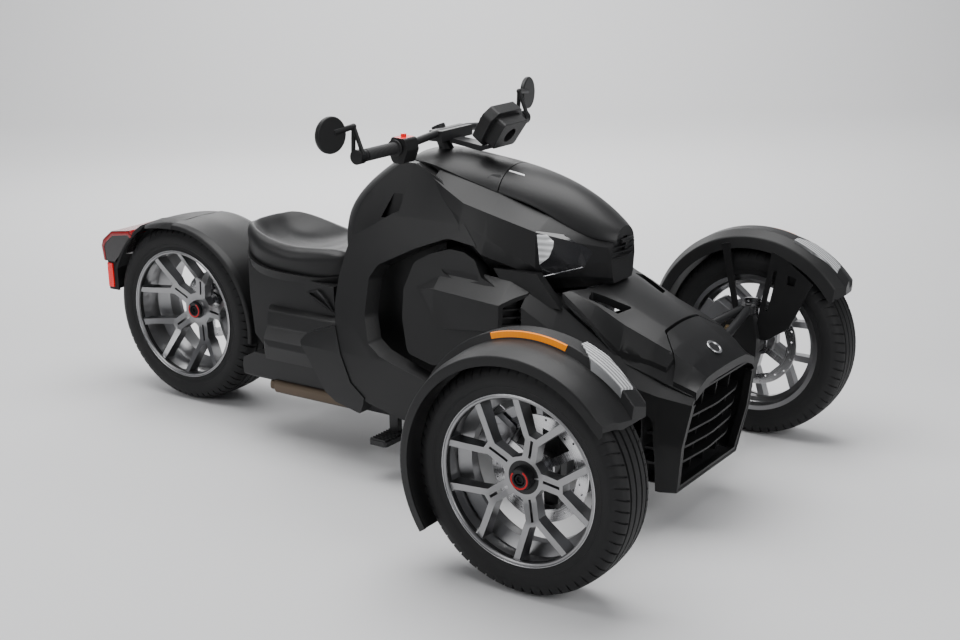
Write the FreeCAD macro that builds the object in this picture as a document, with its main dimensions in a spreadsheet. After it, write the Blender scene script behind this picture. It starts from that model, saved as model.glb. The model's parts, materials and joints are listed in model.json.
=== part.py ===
"""Open three-wheeled roadster: two steered wheels in front, one driven wheel behind, a straddle seat
and a handlebar. Millimetres. X points to the vehicle's left, Y to its rear and Z up. The origin is on
the ground, on the centre plane, half way along the overall length."""

import FreeCAD, Part
import Sketcher
import math
import os

V = FreeCAD.Vector
X_AXIS, Y_AXIS, Z_AXIS = V(1, 0, 0), V(0, 1, 0), V(0, 0, 1)

doc = FreeCAD.newDocument("three_wheeler")

# Driving dimensions, in millimetres and degrees
SIZES = [
    ("wheelbase", 1709), ("track", 1300), ("tail_overhang", 353),
    ("fit_gap", 0.2), ("running_gap", 0.3), ("moving_gap", 6),
    ("front_tyre_radius", 290), ("front_tyre_width", 146), ("front_rim_width", 130),
    ("rear_tyre_radius", 295), ("rear_tyre_width", 207), ("rear_rim_width", 190),
    ("bead_radius", 203), ("rim_lip_radius", 219), ("rim_wall", 5), ("tyre_wall", 14),
    ("spoke_count", 5), ("spoke_depth", 32), ("spoke_width", 14), ("spoke_gap", 90), ("slot_width", 7),
    ("front_dish", 32), ("rear_dish", 72),
    ("hub_radius", 42), ("spindle_radius", 15), ("nut_radius", 27), ("nut_length", 20),
    ("front_disc_radius", 135), ("rear_disc_radius", 110), ("disc_thickness", 5),
    ("kingpin_inset", 92), ("kingpin_radius", 9), ("knuckle_top", 402), ("knuckle_bottom", 172),
    ("steer_arm_length", 110), ("track_rod_radius", 9), ("track_rod_height", 262),
    ("arm_tube_radius", 13), ("arm_front", -44), ("arm_rear", 160), ("upper_pivot", 326),
    ("lower_pivot", 184), ("fender_gap", 20), ("fender_wall", 5), ("fender_half_width", 104.5),
    ("rail_spacing", 190), ("rail_width", 46), ("rail_height", 60), ("rail_bottom", 150),
    ("engine_width", 340), ("engine_length", 360), ("engine_height", 350), ("engine_station", 235),
    ("panel_thickness", 42), ("bar_radius", 11), ("grip_radius", 17), ("grip_length", 128),
    ("bar_half_width", 380), ("bar_height", 948), ("bar_station", 685), ("bar_rise", 16),
    ("steering_rake", 25), ("column_radius", 20), ("mirror_radius", 49), ("mirror_height", 1013),
    ("seat_station", 1000), ("seat_length", 405), ("seat_width", 336), ("seat_height", 597),
    ("rear_fender_half_width", 126), ("plate_hole_radius", 3.5), ("plate_hole_x", 146),
    ("plate_hole_z", 70), ("plate_height", 385), ("lid_thickness", 4),
    ("hinge_radius", 6), ("hinge_station", 108), ("hinge_height", 714),
    ("slat_count", 4), ("slat_thickness", 8), ("mouth_frame", 17),
]
sheet = doc.addObject("Spreadsheet::Sheet", "sizes")
for row, (alias, number) in enumerate(SIZES, start=1):
    sheet.set(f"A{row}", alias.replace("_", " "))
    sheet.set(f"B{row}", str(number))
    sheet.setAlias(f"B{row}", alias)
doc.recompute()


def size(alias):
    return float(sheet.get(alias))


FRONT_AXLE = (size("front_tyre_radius") - size("wheelbase") - size("tail_overhang")) / 2
REAR_AXLE = FRONT_AXLE + size("wheelbase")
FRONT_WHEEL_X = size("track") / 2
KINGPIN_X = FRONT_WHEEL_X - size("kingpin_inset")
nodes = {}


def station(behind_front_axle):
    """Y of a point that lies this far behind the front axle."""
    return FRONT_AXLE + behind_front_axle


def from_rear(behind_rear_axle):
    """Y of a point that lies this far behind the rear axle."""
    return REAR_AXLE + behind_rear_axle


# Shared ways of making shapes

def outline(points, place):
    """A closed wire through 2D points; a third number on a point rounds that corner by that radius."""
    corners = [(V(p[0], p[1], 0), p[2] if len(p) > 2 else 0) for p in points]
    count = len(corners)
    starts, ends, arcs = [], [], []
    for i, (corner, radius) in enumerate(corners):
        before = corners[i - 1][0]
        after = corners[(i + 1) % count][0]
        if radius == 0:
            starts.append(corner)
            ends.append(corner)
            arcs.append(None)
            continue
        to_before = (before - corner).normalize()
        to_after = (after - corner).normalize()
        half = to_before.getAngle(to_after) / 2
        reach = min(radius / math.tan(half), 0.45 * (before - corner).Length, 0.45 * (after - corner).Length)
        middle = corner + (to_before + to_after).normalize() * (
            reach / math.cos(half) - reach * math.tan(half))
        starts.append(corner + to_before * reach)
        ends.append(corner + to_after * reach)
        arcs.append(middle)
    edges = []
    for i in range(count):
        if arcs[i] is not None:
            edges.append(Part.Arc(place(starts[i]), place(arcs[i]), place(ends[i])).toShape())
        a, b = ends[i], starts[(i + 1) % count]
        if (b - a).Length > 1e-6:
            edges.append(Part.LineSegment(place(a), place(b)).toShape())
    return Part.Wire(edges)


def prism_x(points, x_from, x_to):
    """A prism of an outline of (station, height) points between two X planes."""
    wire = outline(points, lambda p: V(x_from, station(p.x), p.y))
    return Part.Face(wire).extrude(V(x_to - x_from, 0, 0))


def prism_y(points, y_from, y_to):
    """A prism of an outline of (x, height) points between two stations."""
    wire = outline(points, lambda p: V(p.x, station(y_from), p.y))
    return Part.Face(wire).extrude(V(0, y_to - y_from, 0))


def prism_z(points, z_from, z_to):
    """A prism of an outline of (x, station) points between two heights."""
    wire = outline(points, lambda p: V(p.x, station(p.y), z_from))
    return Part.Face(wire).extrude(V(0, 0, z_to - z_from))


def box(x_from, x_to, y_from, y_to, z_from, z_to):
    """A block between two X planes, two stations and two heights."""
    return Part.makeBox(x_to - x_from, y_to - y_from, z_to - z_from, V(x_from, station(y_from), z_from))


def rod(start, end, radius):
    """A round bar between two points given as (x, station, height)."""
    a, b = place(start), place(end)
    return Part.makeCylinder(radius, (b - a).Length, a, b - a)


def place(point):
    return V(point[0], station(point[1]), point[2])


def half_section_edges(runs, y):
    """Edges of a section that is symmetric about X = 0. Each run is a list of (x, z) points of one edge,
    from the top centre round the left side to the bottom centre; more than two points make a curve."""
    def edge(points):
        spots = [V(x, y, z) for x, z in points]
        if len(spots) == 2:
            return Part.LineSegment(spots[0], spots[1]).toShape()
        curve = Part.BSplineCurve()
        curve.interpolate(spots)
        return curve.toShape()

    def mirrored(points):
        return [(-x, z) for x, z in reversed(points)]

    top, middle, bottom = runs[0], runs[1:-1], runs[-1]
    return ([edge(mirrored(top)[:-1] + top)] + [edge(run) for run in middle]
            + [edge(bottom[:-1] + mirrored(bottom)[1:] if len(bottom) > 2
                    else [bottom[0], mirrored(bottom)[-1]])]
            + [edge(mirrored(run)) for run in reversed(middle)])


def skin(sections, ruled=False):
    """A solid through symmetric sections, each (station, runs)."""
    wires = [Part.Wire(half_section_edges(runs, station(s))) for s, runs in sections]
    return Part.makeLoft(wires, True, ruled)


def facets(points):
    """Splits a run of points into straight edges."""
    return [[a, b] for a, b in zip(points, points[1:])]


def mirror_x(shape):
    return shape.mirror(V(0, 0, 0), X_AXIS)


def fuse(*shapes):
    return shapes[0].fuse(list(shapes[1:])).removeSplitter()


def both_sides(shape):
    """The left-hand shape and its mirror image, as two solids."""
    return Part.makeCompound([shape, mirror_x(shape)])


def solids_only(shape):
    """Drops everything but solids of real size."""
    kept = [s for s in shape.Solids if s.Volume > 50]
    return kept[0] if len(kept) == 1 else Part.makeCompound(kept)


def keep(name, shape):
    """Registers a shape as a named sub-part."""
    feature = doc.addObject("Part::Feature", name)
    feature.Label = name
    feature.Shape = solids_only(shape)
    nodes[name] = feature
    return feature


def new_body(name):
    body = doc.addObject("PartDesign::Body", name)
    body.Label = name
    nodes[name] = body
    return body


def plane_of(body, role):
    return next(f for f in body.Origin.OriginFeatures if f.Role == role)


def new_sketch(body, name, role, offset=None):
    sketch = body.newObject("Sketcher::SketchObject", name)
    sketch.AttachmentSupport = [(plane_of(body, role), "")]
    sketch.MapMode = "FlatFace"
    if offset:
        sketch.AttachmentOffset = FreeCAD.Placement(V(0, 0, offset), FreeCAD.Rotation())
    return sketch


def draw(sketch, points):
    """Draws a closed outline of straight runs in a sketch and returns the number of its first line."""
    first = sketch.GeometryCount
    spots = [V(p[0], p[1], 0) for p in points]
    for a, b in zip(spots, spots[1:] + spots[:1]):
        sketch.addGeometry(Part.LineSegment(a, b), False)
    last = sketch.GeometryCount - 1
    for line in range(first, last):
        sketch.addConstraint(Sketcher.Constraint("Coincident", line, 2, line + 1, 1))
    sketch.addConstraint(Sketcher.Constraint("Coincident", last, 2, first, 1))
    return first


def bind_height(sketch, line, alias_formula, value):
    """Ties the height of a line's start point above the sketch's horizontal axis to the sheet."""
    at = sketch.addConstraint(Sketcher.Constraint("DistanceY", -1, 1, line, 1, value))
    sketch.setExpression(f"Constraints[{at}]", alias_formula)


def revolve(body, sketch, name, angle=360):
    turned = body.newObject("PartDesign::Revolution", name)
    turned.Profile = sketch
    turned.ReferenceAxis = (sketch, ["H_Axis"])
    turned.Angle = angle
    sketch.Visibility = False
    return turned


# Wheels: a tyre, a cast rim with split spokes, and a drilled brake disc on each axle

def tyre(name, radius_alias, width_alias, rim_width, x, y):
    """A hollow tyre, turned about its axle, with a flat tread and rounded shoulders."""
    radius, half = size(radius_alias), size(width_alias) / 2
    bead, wall = size("bead_radius") + size("fit_gap"), size("tyre_wall")
    lip = rim_width / 2 - size("rim_wall") - size("fit_gap")
    side = size("rim_lip_radius") + 4
    outer = [(half * 0.60, radius), (half * 0.86, radius - 10), (half, radius - 42), (lip, side), (lip, bead)]
    inner = [(lip - wall, bead), (half - wall, radius - 44), (half * 0.60, radius - wall)]
    right = [(-a, r) for a, r in outer]
    right_inner = [(-a, r) for a, r in inner]
    points = list(reversed(right)) + outer + inner + list(reversed(right_inner))
    body = new_body(name)
    sketch = new_sketch(body, name + "_profile", "XZ_Plane")
    draw(sketch, points)
    bind_height(sketch, len(right), f"sizes.{radius_alias}", radius)
    revolve(body, sketch, name + "_turned")
    body.Placement.Base = V(x, y, size(radius_alias))
    return body


def rim(name, width_alias, dish_alias, radius_alias, x, y, outward):
    """A cast rim: turned barrel, dished web and hub, with the web cut into five split spokes."""
    half, wall = size(width_alias) / 2, size("rim_wall")
    seat, lip, hub = size("bead_radius"), size("rim_lip_radius"), size("hub_radius")
    face = half - size(dish_alias)
    depth = size("spoke_depth")
    body = new_body(name)

    web = new_sketch(body, name + "_web", "XZ_Plane")
    bore = size("spindle_radius") + size("running_gap")
    draw(web, [(half - 7, seat - wall + 1), (half - 10, seat - 16), (face + 16, 112), (face + 3, 64),
               (face, hub), (face, bore), (face - 48, bore), (face - 48, hub - 6),
               (face - depth + 4, hub + 6), (face - depth + 8, 64),
               (face + 18 - depth, 120), (half - 16 - depth, seat - 18), (half - 18 - depth, seat - wall + 1)])
    bind_height(web, 5, "sizes.spindle_radius + sizes.running_gap", bore)
    revolve(body, web, name + "_web_turned")

    # Windows are widest at the outer face and narrow towards the vehicle, as a casting's draft does
    windows = new_sketch(body, name + "_windows", "YZ_Plane", half + 4)
    outer_r = seat - wall - 3
    turn = math.pi / size("spoke_count")

    def polar(radius, across, about):
        return (radius * math.cos(about) - across * math.sin(about),
                radius * math.sin(about) + across * math.cos(about))

    def even(points):
        """A window's outline from the points of one half, which are listed outwards."""
        return points + [(r, -a) for r, a in reversed(points) if a]

    # Between two stems the window runs out beside parallel arms, and each stem forks in two arms
    cos_turn, sin_turn = math.cos(turn), math.sin(turn)
    stem = size("slot_width") / 2 + size("spoke_width")
    gap = size("spoke_gap") / 2
    fork_side = gap + size("spoke_width")
    hub_end, fork_end, slot_end = hub + 8, hub + 73, hub + 64

    def beside_stem(along):
        return ((along - stem * sin_turn) / cos_turn) * sin_turn - stem * cos_turn

    shoulder = (gap + stem * cos_turn) / sin_turn * cos_turn + stem * sin_turn
    between = even([(hub_end, beside_stem(hub_end)), (shoulder, gap), (outer_r - 9, gap),
                    (outer_r - 2, gap * 0.66), (outer_r, 0)])
    draw(windows, [polar(r, a, turn) for r, a in between])

    def fork_edge(along):
        return (along - fork_side * sin_turn) / cos_turn * sin_turn - fork_side * cos_turn

    fork = even([(fork_end, fork_edge(fork_end)), (outer_r - 14, fork_edge(outer_r - 14)),
                 (outer_r - 7, fork_edge(outer_r - 14) * 0.82), (outer_r - 1.5, fork_edge(outer_r - 14) * 0.41),
                 (outer_r, 0)])
    draw(windows, [polar(r, a, 0) for r, a in fork])
    doc.recompute()
    pocket = body.newObject("PartDesign::Pocket", name + "_window_cut")
    pocket.Profile = windows
    pocket.Type = 0
    pocket.Length = half - face + depth + 8
    pocket.TaperAngle = -2.6
    pocket.Refine = False
    windows.Visibility = False
    slots = new_sketch(body, name + "_slots", "YZ_Plane", half + 4)
    wide = size("slot_width") / 2
    draw(slots, even([(hub + 12, wide), (slot_end, wide)]))
    doc.recompute()
    slot_cut = body.newObject("PartDesign::Pocket", name + "_slot_cut")
    slot_cut.Profile = slots
    slot_cut.Length = half - face + depth + 8
    slot_cut.Refine = False
    slots.Visibility = False
    pattern = body.newObject("PartDesign::PolarPattern", name + "_window_ring")
    pattern.Originals = [pocket, slot_cut]
    pattern.Axis = (windows, ["N_Axis"])
    pattern.Angle = 360
    pattern.Refine = False
    pattern.setExpression("Occurrences", "sizes.spoke_count")
    body.Tip = pattern

    barrel = new_sketch(body, name + "_barrel", "XZ_Plane")
    well = seat - 20
    draw(barrel, [(-half, lip), (-half + wall, lip), (-half + wall, seat), (-half + 24, seat),
                  (-half + 34, well), (-12 - (half - 65) * 0.4, well), (0, seat), (half - wall, seat),
                  (half - wall, lip), (half, lip), (half, seat - wall), (2, seat - wall),
                  (-12 - (half - 65) * 0.4, well - wall), (-half + 30, well - wall),
                  (-half + 20, seat - wall), (-half, seat - wall)])
    bind_height(barrel, 0, "sizes.rim_lip_radius", lip)
    revolve(body, barrel, name + "_barrel_turned")

    # Centre nut with a socket
    nut = new_sketch(body, name + "_nut", "XZ_Plane")
    nut_r, nut_end = size("nut_radius"), face + size("nut_length")
    draw(nut, [(face - 2, 12), (face - 2, nut_r + 3), (face + 5, nut_r + 3), (face + 7, nut_r),
               (nut_end - 2, nut_r), (nut_end, nut_r - 2), (nut_end, 16), (nut_end - 9, 14),
               (nut_end - 9, 0), (face + 4, 0), (face + 4, 12)])
    revolve(body, nut, name + "_nut_turned")
    body.Tip = body.Group[-1]
    body.Placement = FreeCAD.Placement(V(x, y, size(radius_alias)),
                                       FreeCAD.Rotation(Z_AXIS, 0 if outward > 0 else 180))
    return body


def disc(name, radius_alias, x, y, z, hub_from, hub_to):
    """A drilled brake disc on a six-armed carrier whose hub reaches the rim."""
    radius, thick = size(radius_alias), size("disc_thickness")
    body = new_body(name)
    bore = size("spindle_radius") + size("running_gap")
    turned = new_sketch(body, name + "_profile", "XZ_Plane")
    draw(turned, [(0, bore + 6), (0, radius), (thick, radius), (thick, bore + 6)])
    bind_height(turned, 1, f"sizes.{radius_alias}", radius)
    revolve(body, turned, name + "_turned")
    cuts = new_sketch(body, name + "_openings", "YZ_Plane", thick + 1)
    inner, outer, arms = 42, radius - 30, 6
    step = math.pi / arms
    window = [(inner, -0.55 * step), (outer, -0.80 * step), (outer + 2, 0), (outer, 0.80 * step),
              (inner, 0.55 * step)]
    draw(cuts, [(r * math.cos(a), r * math.sin(a)) for r, a in window])
    for ring, angle in ((radius - 8, -0.7), (radius - 15, -0.2), (radius - 22, 0.3), (radius - 10, 0.65)):
        cuts.addGeometry(Part.Circle(V(ring * math.cos(angle * step), ring * math.sin(angle * step), 0),
                                     Z_AXIS, 3), False)
    doc.recompute()
    pocket = body.newObject("PartDesign::Pocket", name + "_cut")
    pocket.Profile = cuts
    pocket.Length = thick + 2
    cuts.Visibility = False
    pattern = body.newObject("PartDesign::PolarPattern", name + "_ring")
    pattern.Originals = [pocket]
    pattern.Axis = (cuts, ["N_Axis"])
    pattern.Angle = 360
    pattern.Occurrences = arms
    body.Tip = pattern
    hub = new_sketch(body, name + "_hub", "XZ_Plane")
    draw(hub, [(hub_from, bore), (hub_from, bore + 14), (hub_to, bore + 14), (hub_to, bore)])
    revolve(body, hub, name + "_hub_turned")
    body.Tip = body.Group[-1]
    body.Placement.Base = V(x, y, z)
    return body


FRONT_FACE = size("front_rim_width") / 2 - size("front_dish")
REAR_FACE = size("rear_rim_width") / 2 - size("rear_dish")
WEB_BACK = 48
for side, sign in (("left", 1), ("right", -1)):
    wheel_x = sign * FRONT_WHEEL_X
    tyre(f"tyre_front_{side}", "front_tyre_radius", "front_tyre_width", size("front_rim_width"),
         wheel_x, FRONT_AXLE)
    rim(f"rim_front_{side}", "front_rim_width", "front_dish", "front_tyre_radius", wheel_x,
        FRONT_AXLE, sign)
    disc_x = FRONT_WHEEL_X - 40
    web_back = FRONT_WHEEL_X + FRONT_FACE - WEB_BACK - size("fit_gap")
    if sign > 0:
        disc(f"disc_front_{side}", "front_disc_radius", disc_x, FRONT_AXLE, size("front_tyre_radius"),
             -2, web_back - disc_x)
    else:
        disc(f"disc_front_{side}", "front_disc_radius", -disc_x - size("disc_thickness"), FRONT_AXLE,
             size("front_tyre_radius"), -web_back + disc_x + size("disc_thickness"),
             size("disc_thickness") + 2)

tyre("tyre_rear", "rear_tyre_radius", "rear_tyre_width", size("rear_rim_width"), 0, REAR_AXLE)
rim("rim_rear", "rear_rim_width", "rear_dish", "rear_tyre_radius", 0, REAR_AXLE, -1)
rear_web_back = -REAR_FACE + WEB_BACK + size("fit_gap")
disc("disc_rear", "rear_disc_radius", rear_web_back + 14, REAR_AXLE, size("rear_tyre_radius"),
     -14, size("disc_thickness") + 2)


# Front knuckles, which carry the wheels and turn on their kingpins

KNUCKLE_TOP, KNUCKLE_BOTTOM = size("knuckle_top"), size("knuckle_bottom")
WHEEL_Z = size("front_tyre_radius")
STEER_ARM = size("steer_arm_length")
pin_r = size("kingpin_radius")


def knuckle_shape():
    """The left knuckle: upright, spindle, kingpin studs above and below, steering arm and caliper ear."""
    upright = prism_x([(-26, KNUCKLE_BOTTOM + 14, 6), (26, KNUCKLE_BOTTOM + 14, 6), (34, WHEEL_Z - 30, 20),
                       (36, WHEEL_Z + 34, 20), (22, KNUCKLE_TOP - 14, 6), (-22, KNUCKLE_TOP - 14, 6),
                       (-36, WHEEL_Z + 34, 20), (-34, WHEEL_Z - 30, 20)], KINGPIN_X - 14, KINGPIN_X + 14)
    boss = rod((KINGPIN_X + 10, 0, WHEEL_Z), (disc_x - 2 - size("fit_gap"), 0, WHEEL_Z), 34)
    spindle = rod((KINGPIN_X, 0, WHEEL_Z),
                  (FRONT_WHEEL_X + FRONT_FACE - 2.5, 0, WHEEL_Z), size("spindle_radius"))
    studs = rod((KINGPIN_X, 0, KNUCKLE_BOTTOM - 16), (KINGPIN_X, 0, KNUCKLE_TOP + 16), pin_r)
    arm_z = size("track_rod_height")
    arm = prism_z([(KINGPIN_X - 14, 10), (KINGPIN_X + 14, 10), (KINGPIN_X + 12, STEER_ARM, 10),
                   (KINGPIN_X, STEER_ARM + 14, 10), (KINGPIN_X - 12, STEER_ARM, 10)], arm_z, arm_z + 14)
    ear = prism_x([(20, WHEEL_Z + 10), (92, WHEEL_Z + 36, 8), (78, WHEEL_Z + 86, 8), (14, WHEEL_Z + 60)],
                  KINGPIN_X - 6, KINGPIN_X + 8)
    return fuse(upright, boss, spindle, studs, arm, ear)


def caliper_shape():
    """The left brake caliper: a ribbed body that straddles the disc's rim behind and above the axle."""
    radius = size("front_disc_radius")
    middle = math.radians(33)
    cy, cz = (radius - 12) * math.cos(middle), WHEEL_Z + (radius - 12) * math.sin(middle)
    inner_x, outer_x = KINGPIN_X + 8, disc_x + size("disc_thickness") + 26
    block = Part.makeBox(outer_x - inner_x, 64, 96, V(inner_x, -26, -48))
    groove = Part.makeBox(size("disc_thickness") + 8, 54, 98, V(disc_x - 4, -27, -49))
    holes = [Part.makeCylinder(15, 8, V(outer_x - 5, 4, z), X_AXIS) for z in (-22, 22)]
    pads = [Part.makeBox(6, 24, 60, V(inner_x + 6, 36, -30))]
    shape = block.cut(groove).cut(holes).fuse(pads).removeSplitter()
    corners = [e for e in shape.Edges if abs(abs(e.Vertexes[0].Z) - 48) < 0.1 and e.Length > 20
               and abs(abs(e.Vertexes[-1].Z) - 48) < 0.1 and abs(e.tangentAt(e.FirstParameter).x) > 0.9]
    shape = shape.makeChamfer(9, corners)
    shape.rotate(V(0, 0, 0), X_AXIS, math.degrees(middle))
    shape.translate(V(0, FRONT_AXLE + cy, cz))
    return shape


def ring_piece(points, x, rear_angle, front_angle, centre_y, centre_z):
    """Turns an outline of (across, radius) points about an axle. The angles are measured from straight up."""
    wire = outline(points, lambda p: V(x + p.x, centre_y, centre_z + p.y))
    face = Part.Face(wire)
    face.rotate(V(x, centre_y, centre_z), X_AXIS, -rear_angle)
    return face.revolve(V(x, centre_y, centre_z), X_AXIS, rear_angle + front_angle)


def fender_shape():
    """The left cycle fender: an arched shell over the tyre with a raised crown band, a pointed nose over
    the lamp, a long tail, and an inner stay plate down to the knuckle."""
    gap, wall, half = size("fender_gap"), size("fender_wall"), size("fender_half_width")
    inside = size("front_tyre_radius") + gap
    shell = ring_piece(
        [(-86, inside - 14), (-81, inside - 14), (-77, inside + 4), (-40, inside + 14), (0, inside + 10),
         (60, inside + 6), (half - 8, inside - 4), (half - wall, inside - 20), (half, inside - 20),
         (half - 2, inside + 3, 6), (64, inside + 15), (8, inside + 20), (1, inside + 39, 4),
         (-46, inside + 38, 8), (-78, inside + 20, 10)],
        FRONT_WHEEL_X, 124, 57, FRONT_AXLE, WHEEL_Z)
    # The nose narrows to a point over the lamp and the tail narrows towards its flap
    centre = FRONT_WHEEL_X
    nose_trim = prism_z([(centre - 41, -420), (centre + half + 20, -420), (centre + half + 20, -190),
                         (centre + half, -222), (centre + half - 7, -248), (centre + 50, -264),
                         (centre - 41, -281)], 0, 900)
    nose_trim_in = prism_z([(centre - 120, -420), (centre - 41, -420), (centre - 41, -281),
                            (centre - 84, -256), (centre - 120, -230)], 0, 900)
    tail_trim = prism_y([(centre - 100, 60), (centre - 100, 330), (centre - 60, 290), (centre + 10, 60)],
                        150, 420)
    shell = shell.cut([nose_trim, nose_trim_in, tail_trim])
    inner_x = FRONT_WHEEL_X - 82
    stay = prism_x([(-150, WHEEL_Z + 246, 8), (-196, WHEEL_Z + 212, 8), (-128, WHEEL_Z + 70, 10),
                    (-60, WHEEL_Z + 22, 10), (-24, WHEEL_Z + 22), (-30, WHEEL_Z + 92, 10),
                    (-66, WHEEL_Z + 296, 4), (-110, WHEEL_Z + 276, 4)], inner_x - 4, inner_x + 2)
    slots = [prism_x([(-74, WHEEL_Z + 236, 5), (-86, WHEEL_Z + 240, 5), (-58, WHEEL_Z + 110, 5),
                      (-48, WHEEL_Z + 112, 5)], inner_x - 8, inner_x + 6),
             prism_x([(-118, WHEEL_Z + 230, 4), (-146, WHEEL_Z + 222, 4), (-138, WHEEL_Z + 196, 4),
                      (-116, WHEEL_Z + 200, 4)], inner_x - 8, inner_x + 6)]
    rear_stay = prism_x([(96, WHEEL_Z + 300), (70, WHEEL_Z + 306), (34, WHEEL_Z + 96), (30, WHEEL_Z + 40),
                         (46, WHEEL_Z + 40), (50, WHEEL_Z + 96)], inner_x - 4, inner_x + 2)
    piece = shell.fuse([stay.cut(slots), rear_stay]).cut(left_knuckle)
    return piece


def fender_lamps_shape():
    """The left lamp on the fender's nose and the long side marker on its crown band, as two lenses."""
    inside = size("front_tyre_radius") + size("fender_gap")
    centre = FRONT_WHEEL_X
    lamp = ring_piece([(-56, inside + 28), (6, inside + 16), (14, inside + 26), (6, inside + 42),
                       (-20, inside + 43), (-56, inside + 41)], centre, -20, 48, FRONT_AXLE, WHEEL_Z)
    wedge = prism_z([(centre - 52, -118), (centre - 36, -112), (centre + 8, -166), (centre + 6, -242),
                     (centre - 36, -250), (centre - 54, -176)], 300, 900)
    marker = ring_piece([(1, inside + 21), (7, inside + 21), (6, inside + 37), (1, inside + 38)],
                        centre, 18, 17, FRONT_AXLE, WHEEL_Z)
    lens = lamp.common(wedge).cut(left_fender)
    return Part.makeCompound([solids_only(lens), solids_only(marker.cut(left_fender))])


left_knuckle = knuckle_shape()
left_caliper = caliper_shape().cut(left_knuckle)
left_fender = solids_only(fender_shape())
left_lamps = fender_lamps_shape()
for name, shape in (("knuckle", left_knuckle), ("caliper", left_caliper), ("fender", left_fender),
                    ("fender_lamps", left_lamps)):
    keep(f"{name}_left", shape)
    keep(f"{name}_right", mirror_x(shape))


# Steering rack bar with its two track rods, which slides across the vehicle

def track_rods_shape():
    height = size("track_rod_height") - 8
    reach = KINGPIN_X
    behind = STEER_ARM
    bar = rod((-reach + 8, behind, height), (reach - 8, behind, height), size("track_rod_radius") - 2)
    rack = rod((-150, behind, height), (150, behind, height), size("track_rod_radius") + 1)
    end_top = size("track_rod_height") - size("running_gap")
    ends = [Part.makeCylinder(11, end_top - height + 7, place((sign * reach, behind, height - 7)), Z_AXIS)
            for sign in (-1, 1)]
    return fuse(bar, rack, *ends)


keep("track_rods", track_rods_shape())


# Chassis: two rails, a front box for the suspension, and cross members

RAIL_BOTTOM, RAIL_TOP = size("rail_bottom"), size("rail_bottom") + size("rail_height")
RAIL_X, RAIL_HALF = size("rail_spacing") / 2, size("rail_width") / 2
FRAME_HALF = RAIL_X + RAIL_HALF
ARM_FRONT, ARM_REAR = size("arm_front"), size("arm_rear")
TOWER_TOP = 436


def frame_shape():
    pieces = []
    for sign in (-1, 1):
        middle = sign * RAIL_X
        pieces.append(box(middle - RAIL_HALF, middle + RAIL_HALF, -95, 1250, RAIL_BOTTOM, RAIL_TOP))
        for y in (ARM_FRONT, ARM_REAR):
            pieces.append(box(middle - RAIL_HALF, middle + RAIL_HALF, y - 16, y + 16, RAIL_TOP - 5, TOWER_TOP))
        pieces.append(box(middle - RAIL_HALF, middle + RAIL_HALF, ARM_FRONT - 16, ARM_REAR + 16,
                          TOWER_TOP - 32, TOWER_TOP))
    for y, width in ((ARM_FRONT, 32), (ARM_REAR, 32), (640, 50), (1225, 50)):
        pieces.append(box(-FRAME_HALF, FRAME_HALF, y - width / 2, y + width / 2,
                          RAIL_BOTTOM + 6, RAIL_TOP - 6))
    for y in (ARM_FRONT, ARM_REAR):
        pieces.append(box(-FRAME_HALF, FRAME_HALF, y - 12, y + 12, TOWER_TOP - 28, TOWER_TOP - 4))
    return fuse(*pieces)


frame = frame_shape()
keep("frame", frame)

# Engine: one plain block on the rails
engine = doc.addObject("Part::Box", "engine")
engine.Label = "engine"
engine.setExpression("Length", "sizes.engine_width")
engine.setExpression("Width", "sizes.engine_length")
engine.setExpression("Height", "sizes.engine_height")
engine.Placement.Base = V(-size("engine_width") / 2, station(size("engine_station")), RAIL_TOP)
nodes["engine"] = engine
ENGINE_TOP = RAIL_TOP + size("engine_height")
ENGINE_END = size("engine_station") + size("engine_length")
engine_block = box(-size("engine_width") / 2, size("engine_width") / 2, size("engine_station"),
                   ENGINE_END, RAIL_TOP, ENGINE_TOP)


# Wishbones: an upper and a lower arm on each side, each two tubes that meet at the kingpin eye

ARM_HEIGHTS = ((KNUCKLE_BOTTOM - 1, size("lower_pivot")), (KNUCKLE_TOP + 1, size("upper_pivot")))


def wishbones_shape():
    tube, gap = size("arm_tube_radius"), size("running_gap")
    arms = []
    for outer_z, inner_z in ARM_HEIGHTS:
        eye_low, eye_high = (outer_z - 12, outer_z + 13) if outer_z < WHEEL_Z else (outer_z - 13, outer_z + 12)
        eye = Part.makeCylinder(21, eye_high - eye_low, place((KINGPIN_X, 0, eye_low)), Z_AXIS)
        legs = [rod((FRAME_HALF - 2, y, inner_z), (KINGPIN_X - 16, y * 0.10, (eye_low + eye_high) / 2), tube)
                for y in (ARM_FRONT, ARM_REAR)]
        along = 0.45
        brace_x = FRAME_HALF + (KINGPIN_X - FRAME_HALF) * along
        brace_z = inner_z + (outer_z - inner_z) * along
        brace = rod((brace_x, ARM_FRONT * (1 - 0.9 * along), brace_z),
                    (brace_x, ARM_REAR * (1 - 0.9 * along), brace_z), tube * 0.8)
        bore = rod((KINGPIN_X, 0, eye_low - 5), (KINGPIN_X, 0, eye_high + 5), pin_r + gap)
        arm = fuse(eye, brace, *legs).cut(bore)
        arms.append(solids_only(arm.cut(frame).cut(left_knuckle)))
    return arms


left_arms = wishbones_shape()


def arms_room():
    """The room round both arms of each side, which the panels they pass through leave open."""
    grown = size("arm_tube_radius") + 3
    room = []
    for outer_z, inner_z in ARM_HEIGHTS:
        for y in (ARM_FRONT, ARM_REAR):
            room.append(rod((FRAME_HALF - 2, y, inner_z), (KINGPIN_X - 16, y * 0.10, outer_z), grown))
            room.append(rod((2 - FRAME_HALF, y, inner_z), (16 - KINGPIN_X, y * 0.10, outer_z), grown))
    return room


keep("wishbones", Part.makeCompound(left_arms + [mirror_x(a) for a in left_arms]))


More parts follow.
